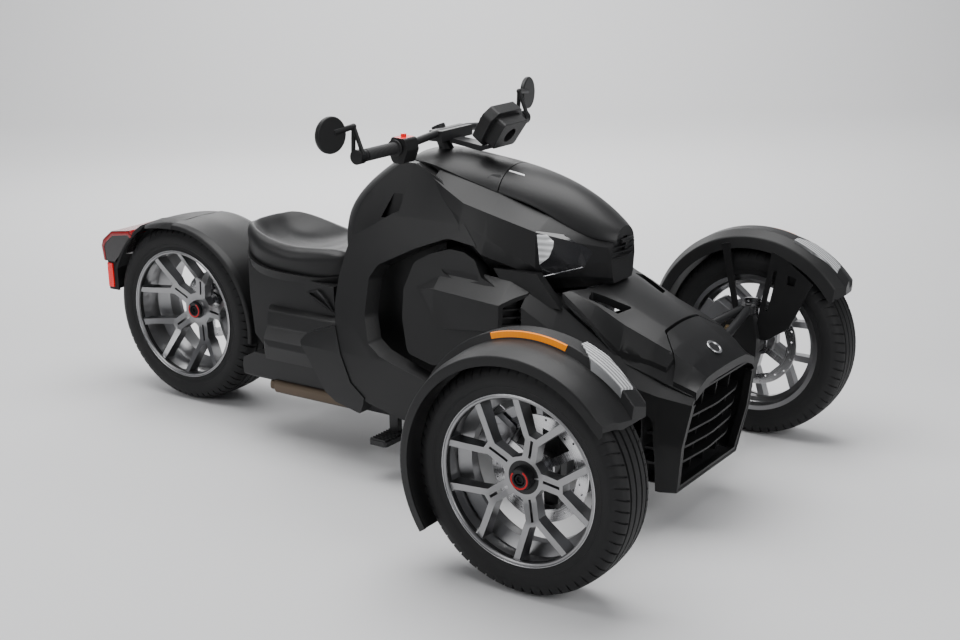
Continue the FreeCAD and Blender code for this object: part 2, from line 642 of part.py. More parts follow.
def coil_over(bottom, top, damper, coil_radius, wire, turns):
    """A damper with its spring, turned about their common axis, the coils as separate rings on a sleeve."""
    a, b = place(bottom), place(top)
    length = (b - a).Length
    low, high = length * 0.18, length * 0.86
    pitch = (high - low - 6) / turns
    profile = [(0, 0), (damper, 0), (damper, low), (coil_radius + wire, low), (coil_radius + wire, low + 6)]
    for turn in range(turns):
        start = low + 6 + pitch * turn
        profile += [(coil_radius - wire, start), (coil_radius + wire * 0.7, start + pitch * 0.3),
                    (coil_radius + wire * 0.7, start + pitch * 0.6)]
    profile += [(coil_radius - wire, high), (coil_radius + wire, high), (coil_radius + wire, high + 6),
                (damper * 0.6, high + 6), (damper * 0.6, length), (0, length)]
    wire_loop = outline(profile, lambda p: V(p.x, 0, p.y))
    shape = Part.Face(wire_loop).revolve(V(0, 0, 0), Z_AXIS, 360)
    eyes = [Part.makeCylinder(damper * 0.9, damper * 1.6, V(0, -damper * 0.8, z), Y_AXIS) for z in (0, length)]
    shape = fuse(shape, *eyes)
    shape.Placement = FreeCAD.Placement(a, FreeCAD.Rotation(Z_AXIS, b - a))
    return shape


arm_mid_x = FRAME_HALF + 0.45 * (KINGPIN_X - FRAME_HALF)
left_shock = coil_over((arm_mid_x, 40, 214), (FRAME_HALF + 28, 40, TOWER_TOP - 12), 13, 26, 5, 7)
left_shock = solids_only(left_shock.cut(left_arms[0]).cut(left_arms[1]).cut(frame))
keep("front_shocks", both_sides(left_shock))


# Outer form of the mid body, which the side frames, foot panels and engine covers share

SIDE_CURVE = [(78, 914), (122, 880), (190, 745), (214, 676), (236, 600), (262, 500), (297, 350),
              (292, 220), (276, 120)]


def side_form(inset, plan=((150, -16), (420, 0), (760, 2), (1060, -8))):
    """A solid bounded by the curved side of the body, brought in by inset."""
    sections = []
    for s, bulge in plan:
        side = [(x - inset + bulge, z) for x, z in SIDE_CURVE]
        top = [(0, side[0][1]), side[0]]
        bottom = [side[-1], (0, side[-1][1])]
        sections.append((s, [top] + facets(side) + [bottom]))
    return skin(sections, True)


form_outer = side_form(0)
form_inner = side_form(size("panel_thickness"))
form_cover = side_form(16)
form_shell = form_outer.cut(form_inner)

SIDE_FRAME = [(712, 886), (618, 850), (560, 812), (520, 765), (436, 676), (424, 655), (462, 683, 30),
              (553, 696, 60), (650, 655, 40), (748, 601, 24), (768, 566, 24), (758, 470, 60),
              (735, 414, 20), (700, 392, 40), (540, 343, 60), (400, 318, 30), (330, 250, 20),
              (380, 178, 20), (667, 186, 30), (789, 218), (838, 266), (874, 359), (900, 422),
              (912, 482), (909, 558), (893, 640, 60), (876, 678, 30), (821, 708, 30), (748, 752),
              (730, 758)]
OPENING = [(400, 660), (462, 683, 30), (553, 696, 60), (650, 655, 40), (748, 601, 24), (768, 566, 24),
           (758, 470, 60), (735, 414, 20), (700, 392, 40), (540, 343, 60), (400, 318)]


def side_frame_shape():
    """The left boomerang-shaped side frame, with a broad bevel round its opening."""
    raw = prism_x(SIDE_FRAME, 30, 330).common(form_shell)
    centre = V(0, station(590), 520)
    inner = outline(OPENING, lambda p: V(170, station(p.x), p.y))
    wide = outline(OPENING, lambda p: V(310, centre.y + (station(p.x) - centre.y) * 1.32,
                                        centre.z + (p.y - centre.z) * 1.24))
    bevel = Part.makeLoft([inner, wide], True, True)
    return solids_only(raw.cut(bevel))


left_side_frame = side_frame_shape()
keep("side_frame_left", left_side_frame)
keep("side_frame_right", mirror_x(left_side_frame))

FOOT_PANEL = [(1028, 362, 12), (1003, 388, 10), (900, 424), (874, 360), (838, 267), (790, 229),
              (794, 212), (812, 175, 8), (902, 196, 8), (938, 222, 10)]
foot_panel = prism_x(FOOT_PANEL, 150, 340).common(side_form(-4).cut(form_inner)).cut(left_side_frame)
keep("foot_panels", both_sides(solids_only(foot_panel)))

ENGINE_COVER = [(676, 470, 60), (684, 553, 40), (660, 628, 30), (609, 656, 30), (548, 675, 30),
                (500, 672, 30), (462, 656, 20), (432, 612, 20), (372, 590), (292, 578, 8), (290, 497, 8),
                (330, 452, 20), (412, 436, 20), (500, 372, 30), (560, 362, 30), (646, 382, 30)]


def scoop_form(inset):
    """The faceted scoop on the engine cover: a sloped top down to a ridge, a side, and a raked underside."""
    rows = ((656, (196, 588), (228, 560), (228, 484), (196, 470)),
            (566, (196, 626), (252, 571), (254, 462), (196, 438)),
            (352, (196, 612), (262, 558), (264, 484), (196, 462)),
            (288, (190, 592), (250, 558), (252, 484), (190, 466)))
    wires = []
    for s, top, ridge, low, foot in rows:
        points = [(top[0] - inset, top[1] - inset), (ridge[0] - inset, ridge[1] - inset),
                  (low[0] - inset, low[1] + inset), (foot[0] - inset, foot[1] + inset)]
        wires.append(outline(points, lambda p: V(p.x, station(s), p.y)))
    return Part.makeLoft(wires, True, True)


def mouth_plan(set_back):
    """The plan of what lies ahead of the scoop's slanted mouth, set back by a distance."""
    return [(150, 292 + set_back), (204, 292 + set_back), (276, 362 + set_back), (330, 362 + set_back),
            (330, 200), (150, 200)]


def engine_cover_shape():
    """The left engine cover with its scoop: a lower panel, a ridge, and louvres in the scoop's mouth."""
    thick = size("panel_thickness")
    cover = prism_x(ENGINE_COVER, 150, 300).common(form_cover.cut(side_form(16 + thick)))
    dimple = prism_x([(585, 660, 8), (560, 612, 20), (500, 592, 20), (440, 602), (452, 640), (500, 662, 20)],
                     214, 320)
    ahead = prism_z(mouth_plan(0), 300, 700)
    scoop = scoop_form(0).cut(ahead)
    mouth = scoop_form(7).common(prism_z(mouth_plan(34), 300, 700))
    louvres = [scoop_form(4).common(prism_z(mouth_plan(34), z, z + 5)).cut(prism_z(mouth_plan(5), z - 1, z + 6))
               for z in (496, 518, 540)]
    shape = cover.cut(dimple).fuse(scoop).cut(ahead).cut(mouth)
    return shape.fuse(louvres).cut(left_side_frame).cut(engine_block)


# Upper body: lamp fairing, console behind and a lid over the storage bin in front

def cowl_edge(s):
    """Centre height, edge half width and edge height of the top cowl at a station."""
    table = [(110, 750, 46, 716), (153, 781, 76, 728), (221, 823, 96, 752), (316, 861, 106, 796),
             (446, 891, 110, 830), (578, 907, 109, 862), (689, 914, 105, 888), (745, 908, 92, 892)]
    for (s0, *a), (s1, *b) in zip(table, table[1:]):
        if s0 <= s <= s1:
            t = (s - s0) / (s1 - s0)
            return [p + (q - p) * t for p, q in zip(a, b)]
    return list(table[0][1:] if s < table[0][0] else table[-1][1:])


def cowl_section(s, drop, base):
    """A section of the top cowl: a crowned top brought down by drop, closed at height base."""
    centre, edge_x, edge_z = cowl_edge(s)
    crown = [(0, centre - drop), (edge_x * 0.55, centre - 0.20 * (centre - edge_z) - drop),
             (edge_x, edge_z - drop)]
    return (s, [crown, [(edge_x, edge_z - drop), (edge_x, base)], [(edge_x, base), (0, base)]])


COWL_STATIONS = (112, 153, 221, 316, 446, 578, 689, 745)
cowl_form = skin([cowl_section(s, 0, 560) for s in COWL_STATIONS])
cowl_under = skin([cowl_section(s, size("lid_thickness"), 540) for s in COWL_STATIONS])
SPLIT = 446


def fairing_form():
    """The faceted form of the lamp fairing under the top cowl."""
    def at(s, upper, lower, hem, keel):
        _, edge_x, edge_z = cowl_edge(s)
        top = edge_z - size("lid_thickness") - size("running_gap")
        return (s, [[(0, top), (edge_x, top)]] + facets([(edge_x, top), upper, lower, hem, keel])
                + [[keel, (0, keel[1])]])
    return skin([
        at(118, (60, 700), (64, 668), (56, 620), (48, 602)),
        at(185, (106, 714), (112, 662), (104, 622), (76, 590)),
        at(283, (178, 748), (181, 652), (166, 622), (110, 578)),
        at(436, (174, 782), (190, 716), (212, 676), (130, 590)),
        at(520, (168, 800), (184, 765), (196, 730), (130, 640)),
        at(600, (150, 834), (162, 800), (168, 770), (120, 700)),
        at(640, (138, 852), (146, 826), (150, 790), (110, 720)),
    ], True)


fairing_raw = fairing_form()
BIN_HALF, BIN_FRONT, BIN_REAR, BIN_FLOOR = 66, 188, 424, 658
bin_box = box(-BIN_HALF, BIN_HALF, BIN_FRONT, BIN_REAR, BIN_FLOOR, 900)
headlamp_room = prism_x([(283, 750), (228, 737), (170, 702), (160, 690), (180, 646), (225, 634), (266, 628),
                         (278, 680)], 70, 230)
fin = prism_x([(405, 640), (268, 640), (194, 553), (275, 557), (330, 570), (385, 612)], 172, 198)


def tank_shell_shape():
    """The body between the rider's knees, from the rails up to the console."""
    levels = ((RAIL_TOP, 1000, 150), (400, 1012, 158), (520, 1016, 154), (625, 1011, 148),
              (720, 997, 136), (800, 937, 116), (855, 868, 97), (878, 830, 86))
    wires = []
    for z, rear, half in levels:
        pts = [(-half, 597), (-half, rear - 0.55 * half), (0, rear + 6), (half, rear - 0.55 * half),
               (half, 597)]
        spots = [V(x, station(s), z) for x, s in pts]
        curve = Part.BSplineCurve()
        curve.interpolate([spots[1], spots[1] + V(half * 0.35, half * 0.42, 0), spots[2],
                           spots[3] + V(-half * 0.35, half * 0.42, 0), spots[3]])
        wires.append(Part.Wire([Part.LineSegment(spots[0], spots[1]).toShape(), curve.toShape(),
                                Part.LineSegment(spots[3], spots[4]).toShape(),
                                Part.LineSegment(spots[4], spots[0]).toShape()]))
    return Part.makeLoft(wires, True, False)


tank_raw = tank_shell_shape()
side_frames = [left_side_frame, mirror_x(left_side_frame)]
column_base = place((0, size("bar_station") + 8, 912))
rake = math.radians(size("steering_rake"))
STEER_AXIS = V(0, math.sin(rake), math.cos(rake))
column_well = Part.makeCylinder(size("column_radius") + size("running_gap"), 110,
                                column_base - STEER_AXIS * 50, STEER_AXIS)

cowl_shell = cowl_form.cut(cowl_under)
console = solids_only(cowl_shell.common(box(-200, 200, SPLIT + 1.5, 746, 600, 960)).cut(column_well))


def lid_shape():
    """The lid: the front of the cowl's skin with a front wall that carries two hinge barrels."""
    front = cowl_form.common(box(-200, 200, COWL_STATIONS[0], COWL_STATIONS[0] + 5, HINGE_Z - 2, 960))
    sheet = cowl_shell.common(box(-200, 200, 100, SPLIT - 1.5, 600, 960))
    notch = box(-HINGE_MIDDLE - 1, HINGE_MIDDLE + 1, 90, 126, HINGE_Z - 20, HINGE_Z + HINGE_R + 4)
    barrels = [rod((x, HINGE_S, HINGE_Z), (x + 22, HINGE_S, HINGE_Z), HINGE_R)
               for x in (-HINGE_MIDDLE - 22.3, HINGE_MIDDLE + 0.3)]
    return sheet.fuse(front).cut(notch).fuse(barrels)


def hinge_lug():
    """The fairing's own barrel between the lid's two, on a lug from the fairing's front face."""
    barrel = rod((-HINGE_MIDDLE, HINGE_S, HINGE_Z), (HINGE_MIDDLE, HINGE_S, HINGE_Z), HINGE_R)
    lug = prism_x([(HINGE_S - HINGE_R, HINGE_Z), (HINGE_S + 4, HINGE_Z + 4), (HINGE_S + 14, HINGE_Z - 8),
                   (HINGE_S + 14, HINGE_Z - 40), (HINGE_S + 4, HINGE_Z - 34)], -HINGE_MIDDLE, HINGE_MIDDLE)
    return barrel.fuse(lug)


HINGE_S, HINGE_Z, HINGE_R = size("hinge_station"), size("hinge_height"), size("hinge_radius")
HINGE_MIDDLE = 9
lid_sheet = solids_only(lid_shape())
side_frame_pair = Part.makeCompound(side_frames)
fairing = fairing_raw.cut([bin_box, headlamp_room, mirror_x(headlamp_room)])
fairing = fairing.fuse([fin, mirror_x(fin), hinge_lug()]).cut(side_frame_pair)
fairing = solids_only(fairing.cut([column_well, engine_block]))
tank_notch = prism_x([(770, 842), (832, 722), (757, 718)], 118, 240)
tank = tank_raw.cut([tank_notch, mirror_x(tank_notch), column_well]).cut(side_frame_pair)
tank = tank.cut([fairing, console])
keep("tank_shell", tank)
console = solids_only(console.cut(fairing))
keep("console", console)


def headlamp_shape():
    return headlamp_room.common(fairing_raw).cut(left_side_frame)


def parted_fairing():
    """The fairing's mouldings: a shell on each side, a bridge before and behind the bin, and its floor."""
    seam = size("fit_gap")
    sides = [(-400, -BIN_HALF - seam), (BIN_HALF + seam, 400)]
    shells = [fairing.common(box(*side, -200, 1000, 300, 1000)) for side in sides]
    reaches = [(-200, BIN_FRONT), (BIN_REAR, 1000)]
    bridges = [fairing.common(box(-BIN_HALF, BIN_HALF, *reach, 300, 1000)) for reach in reaches]
    floor = fairing.common(box(-BIN_HALF, BIN_HALF, BIN_FRONT + seam, BIN_REAR - seam, 300, BIN_FLOOR))
    return Part.makeCompound(shells + bridges + [floor])


keep("lamp_fairing", parted_fairing())
left_cover = solids_only(engine_cover_shape().cut(fairing))
keep("engine_covers", both_sides(left_cover))
keep("cowl_lid", lid_sheet)
keep("headlamps", both_sides(headlamp_shape()))


# Front deck: nose shell with its mouth, hood plates and grille

def nose_form(inset):
    def at(s, top, ridge, waist, foot):
        return (s, [[(0, top[1] - inset), (top[0] - inset, top[1] - inset)],
                    [(top[0] - inset, top[1] - inset), (ridge[0] - inset, ridge[1] - inset * 0.5)],
                    [(ridge[0] - inset, ridge[1] - inset * 0.5), (waist[0] - inset, waist[1])],
                    [(waist[0] - inset, waist[1]), (foot[0] - inset, foot[1] + inset)],
                    [(foot[0] - inset, foot[1] + inset), (0, foot[1] + inset)]])
    return skin([
        at(-212, (160, 384), (188, 352), (202, 240), (176, 112)),
        at(-100, (168, 404), (203, 366), (210, 240), (184, 98)),
        at(0, (176, 436), (211, 388), (214, 260), (190, 100)),
        at(100, (180, 492), (220, 436), (220, 300), (196, 120)),
        at(200, (184, 560), (228, 500), (226, 340), (200, 130)),
        at(300, (188, 598), (233, 556), (230, 380), (200, 140)),
    ], True)


nose_trim = prism_x([(-230, 420), (-194, 420), (-190, 350), (-146, 100), (-140, 60), (-230, 60)], -300, 300)
arch = prism_x([(-84, 60), (-92, 200, 30), (-88, 300, 30), (-40, 336, 20), (60, 392, 30),
                (190, 452, 20), (250, 480), (320, 500), (320, 60)], -300, 300)
wall = 6
nose = nose_form(0).cut(nose_form(wall)).cut(nose_trim).cut(arch)
mouth_frame = nose_form(0.5).cut(nose_form(size("mouth_frame"))).common(
    prism_x([(-190, 352), (-144, 98), (-122, 98), (-168, 352)], -300, 300))
nose = nose.fuse(mouth_frame)
back_trim = box(-300, 300, 296, 340, 0, 700)
tower_room = box(-FRAME_HALF - 14, FRAME_HALF + 14, ARM_FRONT - 30, 296, 372, 700)
nose = nose.cut([back_trim, tower_room, engine_block, fairing] + arms_room())
nose = solids_only(nose.cut(both_sides(left_cover)).cut(both_sides(left_shock)))
keep("nose", nose)

GRILLE_TOP, GRILLE_BOTTOM = 344, 126


def grille_shape():
    """Slats across the nose's mouth, swept back towards their ends, tied by four upright ribs."""
    inside = nose_form(size("mouth_frame") + 0.2)
    slats = []
    count = int(size("slat_count"))
    pitch = (GRILLE_TOP - GRILLE_BOTTOM) / (count + 1)
    for i in range(1, count + 1):
        z = GRILLE_BOTTOM + pitch * i
        front = -132 - (z - 100) * 0.18
        plan = [(-240, front + 96), (-205, front + 34), (-140, front + 8, 160), (0, front - 2, 400),
                (140, front + 8, 160), (205, front + 34), (240, front + 96)]
        plate = prism_z(plan, z, z + size("slat_thickness"))
        slats.append(plate.cut(prism_x([(front - 20, z + 3), (front + 30, z + size("slat_thickness") + 1),
                                        (front - 20, z + 30)], -240, 240)))
    ribs = [prism_x([(-112, 122), (-62, 122), (-104, 352), (-150, 352)], x - 3, x + 3)
            for x in (-120, -40, 40, 120)]
    back = prism_x([(-70, 122), (-62, 122), (-104, 352), (-112, 352)], -200, 200)
    tie = back.cut([box(x + 6, x + 74, -140, -40, 100, 400) for x in (-200, -120, -40, 40, 120)])
    return fuse(*slats, *ribs).fuse(tie.common(inside)).common(inside)


keep("grille", grille_shape().cut(frame).cut(nose).cut(arms_room()))


def deck_form(drop, thick):
    """The crowned deck over the front suspension, brought down by drop, with a thickness under it."""
    def at(s, centre, shoulder, edge):
        upper = [(0, centre), (shoulder[0] * 0.55, centre - (centre - shoulder[1]) * 0.25), shoulder, edge]
        top = [(x, z - drop) for x, z in upper]
        under = [(x - 2 if x else 0, z - drop - thick) for x, z in reversed(upper)]
        return (s, [top[:2]] + facets(top[1:]) + [[top[-1], under[0]]] + facets(under[:-1])
                + [under[-2:]])
    return skin([
        at(-198, 414, (114, 410), (178, 385)),
        at(-160, 454, (130, 440), (180, 396)),
        at(-110, 488, (144, 470), (182, 412)),
        at(-60, 516, (150, 492), (182, 428)),
        at(27, 556, (152, 526), (183, 452)),
        at(110, 592, (154, 568), (186, 533)),
        at(205, 622, (162, 606), (190, 598)),
    ], True)


base_plan = [(0, -196), (114, -196), (176, -194), (182, -150), (190, 40), (190, 118), (182, 196), (100, 160),
             (0, 140)]
plate_plan = [(0, -58), (92, -58), (150, -114), (168, -104), (179, 26), (187, 104), (182, 198), (100, 152),
              (0, 130)]


def mirrored_plan(plan):
    return plan + [(-p[0],) + tuple(p[1:]) for p in reversed(plan) if p[0] != 0]


hood_base = deck_form(14, 7).common(prism_z(mirrored_plan(base_plan), 300, 700))
front_strip = deck_form(0, 15).common(prism_z(mirrored_plan(
    [(0, -196), (114, -196), (176, -194), (180, -130), (154, -122), (94, -66), (0, -66)]), 300, 700))
hood_plate = deck_form(0, 15).common(prism_z(mirrored_plan(plate_plan), 300, 720))
vent = prism_z([(84, 40, 4), (134, 58, 4), (150, 138, 6), (118, 146, 6)], 300, 720)
hood = hood_base.fuse([hood_plate, front_strip]).cut([vent, mirror_x(vent)])
hood = solids_only(hood.cut([nose, fairing]))
keep("hood", hood)

# Belly pan under the rails
belly = prism_z(mirrored_plan([(0, -80), (120, -70, 20), (150, 60, 20), (150, 1100, 20), (110, 1240, 20), (0, 1240)]),
                RAIL_BOTTOM - 22, RAIL_BOTTOM)
belly = belly.cut(nose).cut(nodes["grille"].Shape)
keep("belly_pan", belly)


# Rear body: under-seat housing, side pods and seat

SEAT_S, SEAT_L, SEAT_W, SEAT_H = (size("seat_station"), size("seat_length"), size("seat_width") / 2,
                                  size("seat_height"))


def seat_section(t, width, centre, rim, base):
    """A section across the seat: a dished pan inside a raised rim, over an undercut side."""
    s = SEAT_S + SEAT_L * t
    w = SEAT_W * width
    pan, crest, edge = SEAT_H + centre, SEAT_H + rim, max(SEAT_H + rim - 38, base + 20)
    return (s, [[(0, pan), (w * 0.42, pan + (crest - pan) * 0.08), (w * 0.64, pan + (crest - pan) * 0.52),
                 (w * 0.80, crest)],
                [(w * 0.80, crest), (w * 0.92, crest - 5), (w, edge)],
                [(w, edge), (w * 0.93, base)], [(w * 0.93, base), (0, base)]])


SEAT_ROWS = ((0.0, 0.56, 14, 2, 500), (0.13, 0.74, -6, -6, 500), (0.36, 0.92, -22, -4, 502),
             (0.62, 1.0, -26, 10, 512), (0.80, 0.92, -10, 30, 528), (0.90, 0.76, 20, 42, 544),
             (0.96, 0.58, 43, 44, 556), (1.0, 0.38, 30, 28, 572))
seat = skin([seat_section(*r) for r in SEAT_ROWS]).cut(tank)
keep("seat", seat)


def tray_section(t, width, drop, base):
    s = SEAT_S + SEAT_L * t
    w = SEAT_W * width + 4
    return (s, [[(0, base), (w, base)], [(w, base), (w - 6, base - drop)], [(w - 6, base - drop), (0, base - drop)]])


tray = skin([tray_section(t, w, 26, b + 12) for t, w, _, _, b in SEAT_ROWS]).cut(seat)
housing = prism_x([(1013, RAIL_TOP), (1250, RAIL_TOP), (1340, 300), (1352, 420), (1352, 540), (1300, 540),
                   (1200, 506), (1013, 492)], -146, 146)
seat_base = solids_only(tray.fuse(housing).cut(seat).cut(tank))


def pod_shape():
    """The left side pod: a stepped deck for the passenger's foot over a raked side wall."""
    deck = prism_y([(146, 402), (172, 392, 20), (196, 352, 20), (254, 330, 6), (262, 312, 6), (238, 262),
                    (146, 262)], 985, 1275)
    deck_plan = prism_z([(140, 985), (275, 985), (270, 1140, 30), (256, 1204, 20), (152, 1268), (140, 1268)],
                        250, 410)
    lower = prism_y([(146, 262), (226, 270), (216, 190, 10), (190, 176, 10), (146, 176)], 985, 1330)
    lower_side = prism_x([(985, 160), (1300, 160), (1336, 200, 10), (1322, 246, 10), (1270, 272), (985, 272)],
                         140, 280)
    return deck.common(deck_plan).fuse(lower.common(lower_side)).removeSplitter()


fender_r = size("rear_tyre_radius") + size("fender_gap")
REAR_HALF = size("rear_fender_half_width")
REAR_WHEEL_Z = size("rear_tyre_radius")


def fender_tail_section(s, half, crown, edge):
    """A section of the rear fender's swept end: a crowned shell with short sides."""
    wall = size("fender_wall")
    return (s, [[(0, crown), (half * 0.55, crown - 3), (half * 0.86, crown - 10)],
                [(half * 0.86, crown - 10), (half, edge)], [(half, edge), (half - wall, edge)],
                [(half - wall, edge), (half * 0.84, crown - 16)],
                [(half * 0.84, crown - 16), (half * 0.5, crown - wall - 4), (0, crown - wall)]])


def rear_fender_shape():
    """The shell over the rear tyre: an arc over its front, and a tongue that sweeps back to the lamp."""
    wall = size("fender_wall")
    crown = fender_r + 12
    right = [(104, crown - 5, 20), (REAR_HALF, crown - 11, 8), (REAR_HALF + 2, crown - 23)]
    right_inner = [(REAR_HALF + 2 - wall, crown - 23), (REAR_HALF - wall, crown - 15), (96, crown - 11)]
    left = [(-p[0],) + tuple(p[1:]) for p in reversed(right)]
    left_inner = [(-a, r) for a, r in reversed(right_inner)]
    points = left + [(0, crown, 400)] + right + right_inner + [(0, crown - wall - 2)] + left_inner
    arc = ring_piece(points, 0, 1, 96, REAR_AXLE - 14, REAR_WHEEL_Z - 12)
    back = size("wheelbase") - 14
    top = REAR_WHEEL_Z - 12 + crown
    half = REAR_HALF + 2
    tongue = skin([fender_tail_section(back - 4, half, top, top - 24),
                   fender_tail_section(back + 64, half - 2, top - 3, top - 27),
                   fender_tail_section(back + 140, half - 12, top - 20, top - 39),
                   fender_tail_section(back + 200, half - 30, top - 40, top - 57),
                   fender_tail_section(back + 256, half - 50, top - 66, top - 80)])
    sweep = prism_z([(half + 10, back + 118), (0, back + 252, 60), (-half - 10, back + 118),
                     (-half - 10, back + 300), (half + 10, back + 300)], 300, 700)
    return arc.fuse(tongue.cut(sweep))


rear_fender = solids_only(rear_fender_shape())
wheel_room = Part.makeCylinder(fender_r + 20, 300, V(-150, REAR_AXLE - 14, REAR_WHEEL_Z - 12), X_AXIS)
seat_base = solids_only(seat_base.cut(wheel_room))
keep("seat_base", seat_base)
pod = solids_only(pod_shape().cut(foot_panel).cut(wheel_room).cut(seat_base).cut(tank).cut(belly))


# Rear suspension: single-sided swingarm with the final drive on the left

def swingarm_shape():
    hub_x = rear_web_back + 14 + size("disc_thickness") + 2 + size("fit_gap")
    axle = Part.makeCylinder(size("spindle_radius"), hub_x + 30 + REAR_FACE - 2.5,
                             V(-REAR_FACE + 2.5, REAR_AXLE, REAR_WHEEL_Z), X_AXIS)
    flange = Part.makeCylinder(46, 118 - hub_x, V(hub_x, REAR_AXLE, REAR_WHEEL_Z), X_AXIS)
    case = Part.makeCylinder(92, 62, V(114, REAR_AXLE, REAR_WHEEL_Z), X_AXIS)
    case = case.makeChamfer(14, [e for e in case.Edges if e.Length > 300 and e.BoundBox.XMin > 170])
    back = size("wheelbase")
    beam = prism_x([(1254, 190, 10), (1330, 196), (back - 60, 226, 30), (back, 215), (back + 20, 380, 10),
                    (back - 90, 372, 30), (1330, 292, 20), (1254, 284, 10)], 122, 170)
    cross = box(-110, 170, 1250, 1300, 196, 268)
    return fuse(flange, case, beam, cross).fuse(axle).removeSplitter()


swingarm = swingarm_shape().cut(frame).cut(belly).cut(seat_base)
wheel_clear = Part.makeCylinder(size("rear_tyre_radius") + 8, size("rear_tyre_width") + 16,
                                V(-size("rear_tyre_width") / 2 - 8, REAR_AXLE, REAR_WHEEL_Z), X_AXIS)
crossing = box(-112, 121, 1249, 1420, 150, 400).common(wheel_clear)
swingarm = solids_only(swingarm.cut(crossing))
keep("swingarm", swingarm)
side_pods = Part.makeCompound([solids_only(pod.cut(swingarm)), mirror_x(pod)])
keep("side_pods", side_pods)
rear_fender = solids_only(rear_fender.cut(swingarm).cut(seat_base))
rear_shock = coil_over((150, 1500, 372), (150, 1350, 516), 13, 22, 5, 5)
rear_shock = solids_only(rear_shock.cut([swingarm, seat_base, rear_fender, seat]))
keep("rear_fender", rear_fender)
keep("rear_shock", rear_shock)

caliper_x = rear_web_back + 14
rear_caliper = Part.makeBox(46, 50, 70, V(-14, -25, -35)).cut(
    Part.makeBox(size("disc_thickness") + 6, 40, 72, V(-3, -26, -36)))
rear_caliper.rotate(V(0, 0, 0), X_AXIS, 140)
rear_caliper.translate(V(caliper_x, REAR_AXLE - 74, REAR_WHEEL_Z + 62))
ear = Part.makeBox(118 - caliper_x - 26, 40, 40, V(caliper_x + 28, REAR_AXLE - 92, REAR_WHEEL_Z + 42))
keep("rear_caliper", rear_caliper.fuse(ear).cut(swingarm))


# Tail: carrier arm round the back of the tyre, plate holder and lamps

def tail_carrier_shape():
    """A hugger over the back of the tyre, an arm that carries the lamp, and a flanged plate holder."""
    inner = fender_r
    hugger = ring_piece([(-104, inner - 6), (-98, inner), (0, inner + 8), (98, inner), (104, inner - 6),
                         (104, inner), (98, inner + 8), (0, inner + 15), (-98, inner + 8), (-104, inner)],
                        0, HUGGER_END, -HUGGER_START, REAR_AXLE, REAR_WHEEL_Z)
    arm = prism_x([(TAIL_S + 150, 556), (TAIL_S + 170, 520), (TAIL_S + 262, 480), (TAIL_S + 318, 470),
                   (TAIL_S + 334, 500), (TAIL_S + 300, 530, 20), (TAIL_S + 214, 548, 20)], -40, 40)
    holder = box(-HOLDER_HALF, HOLDER_HALF, PLATE_S, PLATE_S + 6, 334, 480)
    flanges = [box(side * HOLDER_HALF - 3, side * HOLDER_HALF + 3, PLATE_S - 18, PLATE_S + 26, 334, 432)
               for side in (-1, 1)]
    holes = [Part.makeCylinder(size("plate_hole_radius"), 10,
                               place((sx * size("plate_hole_x") / 2, PLATE_S - 2,
                                      size("plate_height") + sz * size("plate_hole_z") / 2)), Y_AXIS)
             for sx in (-1, 1) for sz in (-1, 1)]
    room = Part.makeCylinder(inner - 14, 260, V(-130, REAR_AXLE, REAR_WHEEL_Z), X_AXIS)
    return fuse(hugger, arm, holder, *flanges).cut(room).cut(holes).cut(rear_fender)


TAIL_S = size("wheelbase")
PLATE_S = TAIL_S + 318
HUGGER_START, HUGGER_END = 30, 68
HOLDER_HALF = 88
tail_carrier = solids_only(tail_carrier_shape())
keep("tail_carrier", tail_carrier)
lamp_case = prism_x([(TAIL_S + 196, 530), (TAIL_S + 214, 552), (TAIL_S + 300, 541, 16), (TAIL_S + 344, 508, 12),
                     (TAIL_S + size("tail_overhang"), 486, 8), (TAIL_S + 346, 436, 6), (TAIL_S + 296, 436),
                     (TAIL_S + 240, 490)], -104, 104)
lamp_case = lamp_case.cut(tail_carrier).cut(wheel_room)
reflectors = [box(side * (HOLDER_HALF + 5.5) - 2.5, side * (HOLDER_HALF + 5.5) + 2.5, PLATE_S, PLATE_S + 24, 344, 426)
              for side in (-1, 1)]
keep("tail_lamp", Part.makeCompound([solids_only(lamp_case)] + reflectors))

# Exhaust silencer under the right side pod
muffler = prism_y([(-222, 150, 16), (-150, 144, 20), (-148, 190, 12), (-228, 192, 12)], 920, 1200)
tip = rod((-186, 1198, 168), (-196, 1232, 168), 17).cut(rod((-188, 1206, 168), (-200, 1246, 168), 13))
muffler = muffler.fuse(tip).cut(belly).cut(side_pods).cut(both_sides(foot_panel))
keep("muffler", muffler)


# Rider's foot pegs

def peg_shape():
    bar = box(196, 296, 700, 712, 176, 190)
    tread = prism_z([(222, 690, 6), (330, 690, 10), (330, 752, 10), (222, 752, 6)], 108, 122)
    teeth = [box(226 + 12 * i, 231 + 12 * i, 694, 748, 121, 128) for i in range(9)]
    stem = prism_x([(706, 112), (736, 112), (736, 200), (706, 200)], 232, 252)
    return fuse(tread, stem, *teeth).cut(left_side_frame)


keep("foot_pegs", both_sides(solids_only(peg_shape())))


# Handlebar with grips, switch pods, display and mirrors, all turning on the raked column

BAR_S, BAR_Z, BAR_HALF = size("bar_station"), size("bar_height"), size("bar_half_width")


